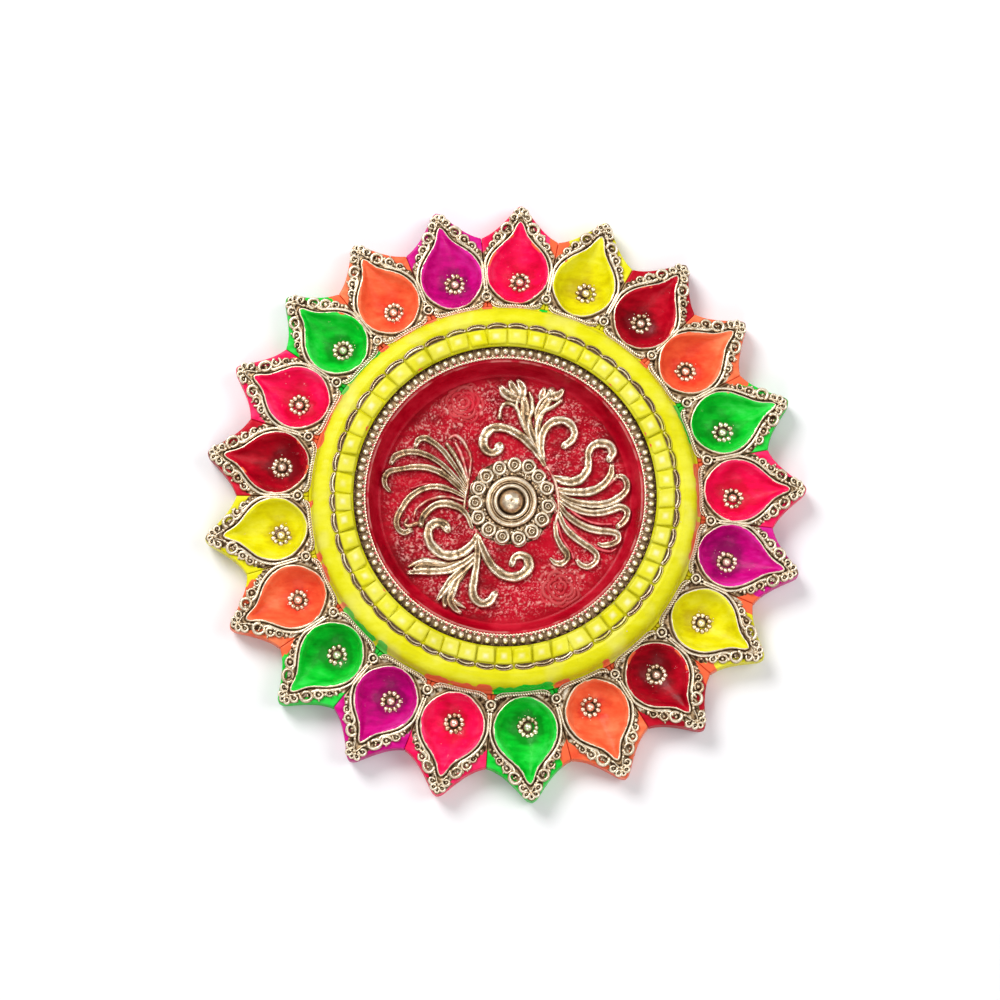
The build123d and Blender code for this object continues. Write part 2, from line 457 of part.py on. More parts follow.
SPRAY_BOTTOM = [
    [(-13.9, -18.2, 1.0), (-15.4, -21.4, 1.4), (-18.2, -24.8, 1.7),
     (-22.6, -27.4, 1.9), (-27.6, -28.2, 2.0), (-32.4, -26.8, 2.0),
     (-36.2, -23.2, 2.0), (-38.0, -18.6, 1.9), (-37.2, -14.2, 1.9),
     (-34.0, -11.9, 1.9), (-30.4, -12.6, 1.9), (-28.7, -15.0, 1.8)],
    [(-12.9, -19.4, 0.9), (-11.2, -24.4, 1.4), (-8.9, -29.4, 1.7),
     (-5.4, -34.4, 1.9), (-0.8, -37.9, 2.0), (4.0, -39.0, 2.1),
     (8.8, -37.6, 2.1), (11.7, -33.8, 2.1), (11.0, -29.8, 1.9),
     (7.7, -28.1, 1.6), (4.6, -29.4, 1.4), (3.4, -32.2, 1.4)],
    [(-13.4, -19.0, 0.9), (-13.6, -25.4, 1.3), (-14.0, -32.2, 1.4),
     (-15.0, -39.0, 1.6), (-15.9, -44.6, 1.8), (-14.9, -49.4, 1.9),
     (-11.3, -52.0, 1.9), (-7.6, -51.0, 1.9), (-5.2, -47.6, 1.6)],
    [(-13.8, -26.6, 0.9), (-18.4, -30.8, 1.2), (-23.0, -33.6, 1.5),
     (-28.6, -35.6, 1.6), (-35.0, -36.2, 1.5), (-41.0, -36.2, 1.4),
     (-47.4, -36.8, 0.9)],
    [(-19.4, -31.2, 0.7), (-24.0, -32.2, 0.9), (-29.0, -32.4, 1.1),
     (-35.2, -31.2, 1.3), (-39.8, -30.6, 1.4), (-43.6, -31.8, 1.2),
     (-47.4, -33.8, 0.7)],
    [(-13.9, -29.0, 0.9), (-18.8, -33.8, 1.4), (-22.8, -37.4, 1.8),
     (-26.4, -40.6, 1.8), (-29.0, -44.2, 1.6), (-31.6, -47.8, 1.2),
     (-33.2, -50.2, 0.7)],
    [(-22.2, -37.4, 1.0), (-24.4, -42.4, 1.5), (-26.2, -47.0, 1.8),
     (-26.8, -51.2, 1.6), (-24.8, -54.4, 1.3), (-22.2, -56.4, 0.8)],
    [(-25.9, -47.6, 0.7), (-23.9, -50.6, 0.7), (-21.6, -52.4, 0.6),
     (-19.6, -54.2, 0.5)],
    [(-26.6, -40.8, 0.6), (-31.0, -41.4, 0.6)],
    [(-15.6, -28.4, 0.9), (-21.8, -32.4, 1.6), (-28.8, -34.2, 2.0),
     (-35.8, -33.9, 2.0), (-41.4, -33.6, 1.6), (-44.8, -35.4, 0.9)],
    [(-15.6, -31.0, 0.9), (-20.8, -36.6, 1.6), (-24.9, -41.8, 2.1),
     (-27.6, -46.4, 2.1), (-29.4, -50.4, 1.4), (-29.6, -53.4, 0.8)],
    [(-26.4, -49.0, 0.9), (-23.6, -51.6, 1.3), (-20.6, -53.6, 0.8)],
]


RIBBON_SWELL, STEM_SWELL = 1.3, 1.15    # modelled ribbons are broad


def stroke_face(ctrl):
    mean = sum(c[2] for c in ctrl) / len(ctrl)
    k = RIBBON_SWELL if mean > 1.12 else STEM_SWELL
    ch = catmull([(c[0], c[1], c[2] * k) for c in ctrl], 4)
    nn = normals(ch)
    left = [(p[0] - m[0] * p[2], p[1] - m[1] * p[2]) for p, m in zip(ch, nn)]
    right = [(p[0] + m[0] * p[2], p[1] + m[1] * p[2]) for p, m in zip(ch, nn)]

    def cap(p, m, sgn):
        base = atan2(-m[1], -m[0])
        return [(p[0] + p[2] * cos(base + sgn * t * pi / 4),
                 p[1] + p[2] * sin(base + sgn * t * pi / 4))
                for t in (1, 2, 3)]

    end = cap(ch[-1], nn[-1], -1)
    start = cap(ch[0], (-nn[0][0], -nn[0][1]), -1)
    return poly_face(left + end + right[::-1] + start, FLOOR_Z)


keep_out = Pos(MED[0], MED[1], FLOOR_Z) * Cylinder(13.4, 20)
for x, y in ROSETTES:
    keep_out = keep_out + Pos(x, y, FLOOR_Z) * Cylinder(3.5, 20)
dish_room = Pos(0, 0, FLOOR_Z + 5) * Cylinder(FLOOR_R - 0.3, 10)
done = []
for name, strokes in (("spray_top", SPRAY_TOP), ("spray_right", SPRAY_RIGHT),
                      ("spray_left", SPRAY_LEFT),
                      ("spray_bottom", SPRAY_BOTTOM)):
    solid = None
    for s in strokes:
        one = extrude(stroke_face(s), RELIEF_Z - FLOOR_Z)
        solid = one if solid is None else solid + one
    solid = (solid - keep_out) & dish_room
    for other in done:
        solid = solid - other
    done.append(solid)
    save(name, solid)

# ---------------------------------------------------------------------------
# 6  two low roses pressed into the dish floor
# ---------------------------------------------------------------------------


def rose(x, y, spin):
    body = Pos(0, 0, FLOOR_Z + 0.55) * Cylinder(3.6, 1.1)
    for k in range(5):
        b = radians(spin + 72 * k)
        body = body + Pos(4.6 * cos(b), 4.6 * sin(b), FLOOR_Z + 0.4) * \
            Cylinder(2.9, 0.8)
    body = body + Pos(0, 0, FLOOR_Z + 0.8) * Cylinder(1.7, 1.6)
    return Pos(x, y, 0) * body


roses = []
for r in (rose(-21.0, 48.6, 10), rose(27.0, -44.2, 40)):
    for other in done:
        r = r - other
    roses.append(r)
save("rose_sprigs", roses)
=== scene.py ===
import bpy
import math
import numpy as np
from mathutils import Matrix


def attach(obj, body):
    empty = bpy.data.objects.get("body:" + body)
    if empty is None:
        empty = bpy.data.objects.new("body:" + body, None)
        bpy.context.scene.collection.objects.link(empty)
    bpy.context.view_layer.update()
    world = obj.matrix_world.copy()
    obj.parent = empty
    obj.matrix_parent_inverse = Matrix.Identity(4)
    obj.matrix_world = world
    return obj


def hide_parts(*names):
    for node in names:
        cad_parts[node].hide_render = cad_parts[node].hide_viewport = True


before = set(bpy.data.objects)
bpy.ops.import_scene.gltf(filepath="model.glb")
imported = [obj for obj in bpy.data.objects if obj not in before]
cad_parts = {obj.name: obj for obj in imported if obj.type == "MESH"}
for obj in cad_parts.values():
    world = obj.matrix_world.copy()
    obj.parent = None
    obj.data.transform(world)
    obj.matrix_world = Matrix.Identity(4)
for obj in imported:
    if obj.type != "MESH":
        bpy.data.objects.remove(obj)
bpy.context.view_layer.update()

MM = 0.001
CUPS = [3.2, 20.2, 37.6, 53.6, 70.8, 88.2, 104.6, 122.0, 139.6, 156.9,
        175.0, 192.9, 210.4, 227.6, 244.6, 262.2, 278.9, 296.1, 312.9,
        329.4, 346.5]
KIND = ["pink", "yellow", "crimson", "orange", "green", "pink", "purple",
        "yellow", "crimson", "orange", "green", "pink", "purple", "green",
        "orange", "yellow", "crimson", "pink", "green", "orange", "purple"]


# ---------------------------------------------------------------------------
# numeric helpers
# ---------------------------------------------------------------------------
def _hash(ix, iy, iz, seed):
    h = (ix * 374761393 + iy * 668265263 + iz * 1274126177
         + seed * 144269504) & 0xFFFFFFFF
    h = ((h ^ (h >> 13)) * 1103515245) & 0xFFFFFFFF
    h = ((h ^ (h >> 15)) * 2246822519) & 0xFFFFFFFF
    return ((h ^ (h >> 16)) & 0xFFFFF) / float(0xFFFFF)


def vnoise(x, y, z=0.0, seed=0):
    """Smooth lattice noise, 0..1."""
    x, y, z = np.broadcast_arrays(np.asarray(x, float), np.asarray(y, float),
                                  np.asarray(z, float))
    ix, iy, iz = (np.floor(a).astype(np.int64) for a in (x, y, z))
    fx, fy, fz = x - ix, y - iy, z - iz
    fx, fy, fz = (a * a * (3 - 2 * a) for a in (fx, fy, fz))
    out = 0
    for dx in (0, 1):
        wx = fx if dx else 1 - fx
        for dy in (0, 1):
            wy = fy if dy else 1 - fy
            for dz in (0, 1):
                wz = fz if dz else 1 - fz
                out = out + wx * wy * wz * _hash(ix + dx, iy + dy, iz + dz,
                                                 seed)
    return out


def fbm(x, y, z=0.0, seed=0, octaves=3):
    s, a, t = 0.0, 1.0, 0.0
    for k in range(octaves):
        s = s + a * vnoise(np.asarray(x) * 2 ** k, np.asarray(y) * 2 ** k,
                           np.asarray(z) * 2 ** k, seed + 17 * k)
        t += a
        a *= 0.5
    return s / t


def smooth(a, b, x):
    t = np.clip((np.asarray(x, float) - a) / (b - a), 0, 1)
    return t * t * (3 - 2 * t)


def catmull(pts, n):
    pts = np.asarray(pts, float)
    ext = np.vstack([2 * pts[0] - pts[1], pts, 2 * pts[-1] - pts[-2]])
    out = []
    for i in range(1, len(ext) - 2):
        p0, p1, p2, p3 = ext[i - 1], ext[i], ext[i + 1], ext[i + 2]
        for k in range(n):
            t = k / n
            out.append(0.5 * (2 * p1 + (p2 - p0) * t
                              + (2 * p0 - 5 * p1 + 4 * p2 - p3) * t * t
                              + (3 * p1 - p0 - 3 * p2 + p3) * t ** 3))
    out.append(pts[-1])
    return np.array(out)


def tangents(ch):
    d = np.gradient(ch, axis=0)
    return d / np.maximum(np.linalg.norm(d, axis=1, keepdims=True), 1e-9)


class Builder:
    """Collects vertices, quads, triangles and per-vertex values (mm)."""

    def __init__(self):
        self.v, self.q, self.t = [], [], []
        self.att = {}
        self.n = 0

    def add(self, v, q=None, t=None, **att):
        v = np.asarray(v, float).reshape(-1, 3)
        m = len(v)
        self.v.append(v)
        if q is not None and len(q):
            self.q.append(np.asarray(q, np.int64) + self.n)
        if t is not None and len(t):
            self.t.append(np.asarray(t, np.int64) + self.n)
        for k in set(self.att) | set(att):
            if k not in self.att:
                self.att[k] = [np.zeros(self.n)]
            val = att.get(k, 0.0)
            self.att[k].append(np.broadcast_to(np.asarray(val, float), (m,))
                               .copy())
        self.n += m

    def grid(self, P, close_u=False, flip=False, **att):
        """P: (rows, cols, 3).  close_u joins the last column to the first."""
        r, c = P.shape[:2]
        idx = np.arange(r * c).reshape(r, c)
        if close_u:
            nx = np.roll(idx, -1, axis=1)
            a, b = idx[:-1], nx[:-1]
            d, e = idx[1:], nx[1:]
        else:
            a, b = idx[:-1, :-1], idx[:-1, 1:]
            d, e = idx[1:, :-1], idx[1:, 1:]
        q = np.stack([a, b, e, d], -1).reshape(-1, 4)
        if flip:
            q = q[:, ::-1]
        flat = {k: np.asarray(v, float).reshape(-1) if np.ndim(v) else v
                for k, v in att.items()}
        self.add(P.reshape(-1, 3), q, None, **flat)
        return idx + self.n - r * c

    def fan(self, ring, centre, flip=False, **att):
        """Closes a ring of existing vertices with one new centre."""
        self.add([centre], **att)
        c = self.n - 1
        ring = np.asarray(ring)
        nx = np.roll(ring, -1)
        t = np.stack([ring, nx, np.full(len(ring), c)], -1)
        if flip:
            t = t[:, ::-1]
        self.t.append(t)

    def turned(self, deg, cx=0.0, cy=0.0):
        pass

    def build(self, name, mat, replaces=(), colors=None):
        v = np.vstack(self.v) * MM
        faces = []
        me = bpy.data.meshes.new(name)
        q = np.vstack(self.q) if self.q else np.zeros((0, 4), np.int64)
        t = np.vstack(self.t) if self.t else np.zeros((0, 3), np.int64)
        nl = len(q) * 4 + len(t) * 3
        me.vertices.add(len(v))
        me.vertices.foreach_set("co", v.astype(np.float32).reshape(-1))
        me.loops.add(nl)
        me.loops.foreach_set("vertex_index", np.concatenate(
            [q.reshape(-1), t.reshape(-1)]).astype(np.int32))
        me.polygons.add(len(q) + len(t))
        start = np.concatenate([np.arange(len(q)) * 4,
                                len(q) * 4 + np.arange(len(t)) * 3])
        me.polygons.foreach_set("loop_start", start.astype(np.int32))
        me.update(calc_edges=True)
        me.validate()
        me.polygons.foreach_set("use_smooth", np.ones(len(me.polygons),
                                                      bool))
        for k, lst in self.att.items():
            a = me.attributes.new(k, 'FLOAT', 'POINT')
            a.data.foreach_set("value",
                               np.concatenate(lst).astype(np.float32))
        me.update()
        ob = bpy.data.objects.new(name, me)
        bpy.context.scene.collection.objects.link(ob)
        me.materials.append(mat)
        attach(ob, "root")
        if replaces:
            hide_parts(*replaces)
        return ob


# ---------------------------------------------------------------------------
# materials
# ---------------------------------------------------------------------------
def srgb(r, g, b):
    def f(c):
        c /= 255.0
        return c / 12.92 if c <= 0.04045 else ((c + 0.055) / 1.055) ** 2.4
    return (f(r), f(g), f(b), 1.0)


class Nodes:
    def __init__(self, name):
        self.m = bpy.data.materials.new(name)
        self.m.use_nodes = True
        self.nt = self.m.node_tree
        self.b = self.nt.nodes["Principled BSDF"]
        self.tc = self.nt.nodes.new("ShaderNodeTexCoord")

    def n(self, kind, **props):
        nd = self.nt.nodes.new(kind)
        for k, v in props.items():
            setattr(nd, k, v)
        return nd

    def link(self, a, b):
        self.nt.links.new(a, b)

    def noise(self, scale, detail=3.0, rough=0.55, vec=None, dist=0.0):
        nd = self.n("ShaderNodeTexNoise")
        nd.inputs["Scale"].default_value = scale
        nd.inputs["Detail"].default_value = detail
        nd.inputs["Roughness"].default_value = rough
        nd.inputs["Distortion"].default_value = dist
        self.link(vec if vec is not None else self.tc.outputs["Object"],
                  nd.inputs["Vector"])
        return nd.outputs["Fac"]

    def mapping(self, scale, rot=(0, 0, 0)):
        nd = self.n("ShaderNodeMapping")
        nd.inputs["Scale"].default_value = scale
        nd.inputs["Rotation"].default_value = rot
        self.link(self.tc.outputs["Object"], nd.inputs["Vector"])
        return nd.outputs["Vector"]

    def ramp(self, fac, stops, mode='LINEAR'):
        nd = self.n("ShaderNodeValToRGB")
        nd.color_ramp.interpolation = mode
        el = nd.color_ramp.elements
        while len(el) < len(stops):
            el.new(0.5)
        for e, (p, c) in zip(el, stops):
            e.position = p
            e.color = c if len(c) == 4 else (*c, 1)
        self.link(fac, nd.inputs["Fac"])
        return nd.outputs["Color"]

    def mix(self, fac, a, b, blend='MIX'):
        nd = self.n("ShaderNodeMix", data_type='RGBA', blend_type=blend)
        nd.clamp_factor = True
        for s, val in ((0, fac), (6, a), (7, b)):
            if hasattr(val, "is_linked") or hasattr(val, "links"):
                self.link(val, nd.inputs[s])
            else:
                nd.inputs[s].default_value = val
        return nd.outputs[2]

    def math(self, op, a, b=0.0, clamp=False):
        nd = self.n("ShaderNodeMath", operation=op, use_clamp=clamp)
        for s, val in ((0, a), (1, b)):
            if hasattr(val, "links"):
                self.link(val, nd.inputs[s])
            else:
                nd.inputs[s].default_value = val
        return nd.outputs[0]

    def maprange(self, x, a, b, c=0.0, d=1.0, smoothstep=False):
        nd = self.n("ShaderNodeMapRange")
        nd.interpolation_type = 'SMOOTHSTEP' if smoothstep else 'LINEAR'
        self.link(x, nd.inputs["Value"])
        for k, v in (("From Min", a), ("From Max", b), ("To Min", c),
                     ("To Max", d)):
            nd.inputs[k].default_value = v
        return nd.outputs["Result"]

    def attr(self, name):
        nd = self.n("ShaderNodeAttribute")
        nd.attribute_name = name
        return nd.outputs["Fac"]

    def bump(self, h, strength, dist, prev=None):
        nd = self.n("ShaderNodeBump")
        nd.inputs["Strength"].default_value = strength
        nd.inputs["Distance"].default_value = dist
        self.link(h, nd.inputs["Height"])
        if prev is not None:
            self.link(prev, nd.inputs["Normal"])
        return nd.outputs["Normal"]

    def set(self, key, val):
        s = self.b.inputs[key]
        if hasattr(val, "links"):
            self.link(val, s)
        else:
            s.default_value = val


# GOLD_HIGHLIGHT is the painted highlight on crests; GOLD_WASH_SHADE is the antique
# wash and painted shade in creases
GOLD_HIGHLIGHT = srgb(250, 236, 210)
GOLD_MID = srgb(186, 154, 114)
GOLD_WASH_SHADE = srgb(58, 36, 19)
PAINT = {
    "pink": (srgb(248, 12, 84), srgb(204, 4, 50), srgb(255, 76, 128)),
    "yellow": (srgb(228, 220, 8), srgb(198, 180, 2), srgb(244, 240, 78)),
    "crimson": (srgb(184, 2, 30), srgb(122, 0, 14), srgb(222, 34, 58)),
    "orange": (srgb(244, 104, 62), srgb(222, 62, 36), srgb(255, 148, 100)),
    "green": (srgb(4, 202, 44), srgb(0, 140, 22), srgb(76, 236, 102)),
    "purple": (srgb(206, 2, 128), srgb(142, 0, 88), srgb(234, 54, 174)),
}
BLEED = {"orange": srgb(255, 120, 40), "green": srgb(20, 200, 50),
         "crimson": srgb(190, 0, 36), "pink": srgb(245, 10, 90),
         "purple": srgb(180, 0, 140), "yellow": srgb(235, 232, 10)}


def paint_material(name, tones, rough=0.36, gold=False, bleeds=(),
                   bump=0.35, fleck_and_glint=0.0, coat=0.025, grain=0.35,
                   speck_and_glint=0.0, painted_shade_amount=0.34):
    """Hand-brushed acrylic on clay.  Attributes: gold (metal paint),
    cav (0 in creases, where antique wash and painted shade
    darken it; 1 on crests, where a painted highlight lightens it),
    deep (painted shade that darkens the paint colour in hollows
    and undersides; below zero a painted highlight), pale
    (paler, chalky paint, and painted highlight) and one for each stray
    colour."""
    N = Nodes(name)
    base, dark, light = tones
    big = N.noise(55, 3, 0.55)
    fine = N.noise(420, 4, 0.6)
    streak = N.noise(240, 3, 0.6, vec=N.mapping((0.4, 1.3, 0.8),
                                                (0.2, 0.1, 0.9)))
    f = N.math('ADD', N.math('MULTIPLY', big, 0.6),
               N.math('MULTIPLY', streak, 0.4))
    # painted shade: the paint colour darkens where deep is high; where it is below
    # zero this is a painted highlight
    f = N.math('SUBTRACT', f, N.math('MULTIPLY', N.attr("deep"), painted_shade_amount))
    col = N.ramp(f, [(0.26, dark), (0.46, base), (0.70, light)])
    spec = N.maprange(fine, 0.60, 0.76, 0.0, grain)
    col = N.mix(spec, col, dark)
    # pale flecks in the bowls: partly chalky specks in the paint, partly painted
    # glints
    if fleck_and_glint:
        fl = N.maprange(N.noise(330, 5, 0.7), 0.655, 0.69, 0, fleck_and_glint)
        fz = N.maprange(N.noise(40, 2, 0.5), 0.45, 0.62, 0, 1)
        col = N.mix(N.math('MULTIPLY', fl, fz), col,
                    (0.95, 0.62, 0.62, 1))
    # pale pink specks on the stippled floor: partly dry-brushed paint, partly painted
    # glints
    if speck_and_glint:
        sp = N.maprange(N.noise(1150, 2, 0.5), 0.56, 0.64, 0, 1)
        sz = N.maprange(N.noise(170, 3, 0.6), 0.40, 0.58, 0, 1)
        sp = N.math('MULTIPLY', N.math('MULTIPLY', sp, sz),
                    N.math('MULTIPLY', N.attr("stip"), speck_and_glint))
        col = N.mix(sp, col, srgb(248, 150, 152))
    wash_shade_attr = N.attr("cav")
    # tiles: darker where cav is low: the dark open joints, and painted shade where
    # the block edges roll down
    if grain > 0.4:
        col = N.mix(N.maprange(wash_shade_attr, 0.0, 0.55, 0.75, 0.0), col,
                    tuple(0.32 * c for c in dark[:3]) + (1,))
    rag = N.math('MULTIPLY', N.math('SUBTRACT', N.noise(300, 4), 0.5), 0.7)
    for b in bleeds:
        edge = N.math('ADD', N.attr("b_" + b), rag)
        col = N.mix(N.maprange(edge, 0.40, 0.54, 0, 1, True), col,
                    PAINT[b][0] if b in PAINT else b)
    # paler, chalky cream: random worn patches on the band, and painted highlight on
    # tile centres, stipple tops and the wall ridge
    pale = N.attr("pale")
    col = N.mix(N.math('MULTIPLY', pale, 0.85), col,
                tuple(0.4 * c + 0.6 * w for c, w in
                      zip(light, (0.95, 0.85, 0.70, 1))))
    r = N.maprange(N.noise(150, 3), 0.3, 0.7, rough - 0.07, rough + 0.12)
    b1 = N.bump(N.noise(620, 4, 0.6), bump * 0.5, 0.0003)
    b2 = N.bump(streak, bump, 0.0004, b1)
    if gold:
        g = N.attr("gold")
        ge = N.math('ADD', g, N.math('MULTIPLY', N.math(
            'SUBTRACT', N.noise(520, 3), 0.5), 0.35))
        gm = N.maprange(ge, 0.42, 0.56, 0, 1, True)
        gn = N.noise(700, 4, 0.65)
        # metal paint: dark in creases from antique wash and painted shade, cream on
        # crests as painted highlight
        gf = N.math('ADD', wash_shade_attr, N.math('MULTIPLY',
                                        N.math('SUBTRACT', gn, 0.5), 0.6))
        gcol = N.ramp(gf, [(0.02, GOLD_WASH_SHADE), (0.45, GOLD_MID),
                           (0.85, GOLD_HIGHLIGHT)])
        col = N.mix(gm, col, gcol)
        N.set("Metallic", N.math('MULTIPLY', gm, 0.7))
    N.set("Base Color", col)
    N.set("Roughness", r)
    N.set("Normal", b2)
    N.b.inputs["Specular IOR Level"].default_value = 0.12
    N.b.inputs["Coat Weight"].default_value = coat
    N.b.inputs["Coat Roughness"].default_value = 0.12
    return N.m


def gold_material(name="gold_relief", under=None):
    """Champagne metal paint over relief; cav is 0 in creases, where antique wash and
    painted shade darken it, and 1 on crests, where a painted highlight lightens it.
    under: the paint showing where the attribute gold is low."""
    N = Nodes(name)
    cav = N.attr("cav")
    n1 = N.noise(650, 4, 0.62)
    n2 = N.noise(120, 2, 0.5)
    f = N.math('ADD', cav, N.math('MULTIPLY',
                                  N.math('SUBTRACT', n1, 0.5), 0.5))
    f = N.math('ADD', f, N.math('MULTIPLY',
                                N.math('SUBTRACT', n2, 0.5), 0.3))
    # dark in creases from antique wash and painted shade, cream on crests as painted
    # highlight
    col = N.ramp(f, [(0.10, GOLD_WASH_SHADE), (0.50, GOLD_MID), (0.86, GOLD_HIGHLIGHT)])
    metal = 0.78
    if under is not None:
        g = N.attr("gold")
        ge = N.math('ADD', N.math('MULTIPLY', g, N.math(
            'ADD', N.math('MULTIPLY', cav, 0.35), 0.65)), N.math(
            'MULTIPLY', N.math('SUBTRACT', N.noise(380, 3), 0.5), 0.4))
        gm = N.maprange(ge, 0.34, 0.56, 0, 1, True)
        # the paint under the metal gets the same painted shade in creases and painted
        # highlight on crests
        ucol = N.ramp(f, [(0.1, under[1]), (0.55, under[0]),
                          (1.0, under[2])])
        col = N.mix(gm, ucol, col)
        metal = N.math('MULTIPLY', gm, 0.78)
    N.set("Base Color", col)
    N.set("Metallic", metal)
    N.set("Roughness", N.maprange(n1, 0.3, 0.7, 0.24, 0.42))
    b = N.bump(N.noise(900, 4, 0.6), 0.35, 0.0003)
    N.set("Normal", N.bump(n1, 0.4, 0.0004, b))
    return N.m


def clay_material():
    N = Nodes("terracotta")
    a = N.noise(60, 4, 0.6)
    s = N.noise(900, 5, 0.7)
    col = N.ramp(N.math('ADD', N.math('MULTIPLY', a, 0.7),
                        N.math('MULTIPLY', s, 0.3)),
                 [(0.3, srgb(138, 66, 40)), (0.5, srgb(176, 92, 58)),
                  (0.72, srgb(200, 124, 88))])
    N.set("Base Color", col)
    N.set("Roughness", N.maprange(s, 0.3, 0.7, 0.78, 0.95))
    N.set("Normal", N.bump(s, 0.5, 0.0006, N.bump(a, 0.3, 0.001)))
    return N.m


RED = (srgb(180, 0, 29), srgb(124, 0, 12), srgb(212, 36, 58))
STRAY = ("orange", "yellow", "green")
M_GOLD = gold_material()
M_SPRAY = gold_material("gold_on_red", (srgb(196, 20, 44),
                                        srgb(120, 0, 14),
                                        srgb(240, 120, 124)))
M_ARCH = gold_material("gold_on_yellow", (srgb(206, 196, 20),
                                          srgb(120, 104, 6),
                                          srgb(236, 230, 70)))
M_CLAY = clay_material()
M_CUP = {}
for k, tones in PAINT.items():
    M_CUP[k] = paint_material("paint_" + k, tones, gold=True,
                              bleeds=[b for b in STRAY if b != k],
                              # painted shade strength in the bowls for each colour
                              painted_shade_amount={"orange": .26, "yellow": .28,
                                    "pink": .34}.get(k, 0.4),
                              # pale flecks, partly painted glints
                              fleck_and_glint={"crimson": .8, "purple": .8,
                                     "pink": .55, "green": .35}.get(k, 0.2))
M_BAND = paint_material("paint_band", (srgb(222, 216, 12),
                                       srgb(204, 196, 4),
                                       srgb(234, 230, 62)), rough=0.38,
                        gold=True, bleeds=("orange", "green"))
M_TILE = paint_material("paint_tile", (srgb(222, 215, 12),
                                       srgb(200, 194, 4),
                                       srgb(234, 231, 78)), rough=0.26,
                        gold=True, bleeds=("orange",), bump=0.25,
                        grain=0.45)
# the dish red takes pale specks, partly painted glints
M_RED = paint_material("paint_dish", RED, rough=0.36, bump=0.45, gold=True,
                       coat=0.03, speck_and_glint=0.8)
# ---------------------------------------------------------------------------
# shapes of the relief
# ---------------------------------------------------------------------------
def dome(B, x, y, z, rx, ry, h, rot=0.0, nr=6, ns=14, skirt=0.0, lo=0.15,
         tone=1.0, **att):
    """Half ellipsoid."""
    ph = np.linspace(0, math.pi / 2, nr + 1)[:-1]
    th = np.arange(ns) * 2 * math.pi / ns
    c, s = math.cos(rot), math.sin(rot)
    # cav rises from lo at the foot to 1 on top: painted shade at the foot, painted
    # highlight on top
    rows, cav = [], []
    if skirt:
        ph = np.concatenate([[-1], ph])
    for p in ph:
        if p < 0:
            k, zz, cv = 1.0, z - skirt, 0.0
        else:
            k, zz, cv = math.cos(p), z + h * math.sin(p), \
                lo + (1 - lo) * math.sin(p)
        lx, ly = rx * k * np.cos(th), ry * k * np.sin(th)
        rows.append(np.stack([x + lx * c - ly * s, y + lx * s + ly * c,
                              np.full(ns, zz)], -1))
        cav.append(np.full(ns, cv))
    idx = B.grid(np.array(rows), close_u=True, cav=np.array(cav) * tone,
                 **att)
    B.fan(idx[-1], (x, y, z + h), cav=tone, **att)


def ring(B, x, y, z, R, r, h=None, ns=22, nc=8, a0=0.0, a1=2 * math.pi,
         jag=0.0, seed=0, tone=1.0, **att):
    """Round bead-like ring (flattened torus), whole or part."""
    h = h if h is not None else r
    whole = abs(a1 - a0 - 2 * math.pi) < 1e-6
    th = np.linspace(a0, a1, ns + 1)
    if whole:
        th = th[:-1]
    ph = np.linspace(0, math.pi, nc)
    RR = R * (1 + jag * (vnoise(np.cos(th) * 2 + seed, np.sin(th) * 2) - .5))
    rows, cav = [], []
    for t, Rt in zip(th, RR):
        rad = Rt + r * np.cos(ph)
        rows.append(np.stack([x + rad * math.cos(t), y + rad * math.sin(t),
                              z + h * np.sin(ph)], -1))
        # painted highlight on the crest of the ring, painted shade down its sides
        cav.append(np.sin(ph))
    P = np.array(rows)
    cv = np.array(cav) * tone
    P = np.concatenate([P[:, :1] * [1, 1, 1] - [0, 0, 0.35], P,
                        P[:, -1:] - [0, 0, 0.35]], 1)
    cv = np.concatenate([cv[:, :1] * 0, cv, cv[:, -1:] * 0], 1)
    if whole:
        P = np.concatenate([P, P[:1]], 0)
        cv = np.concatenate([cv, cv[:1]], 0)
    B.grid(P, cav=cv, flip=True, **att)


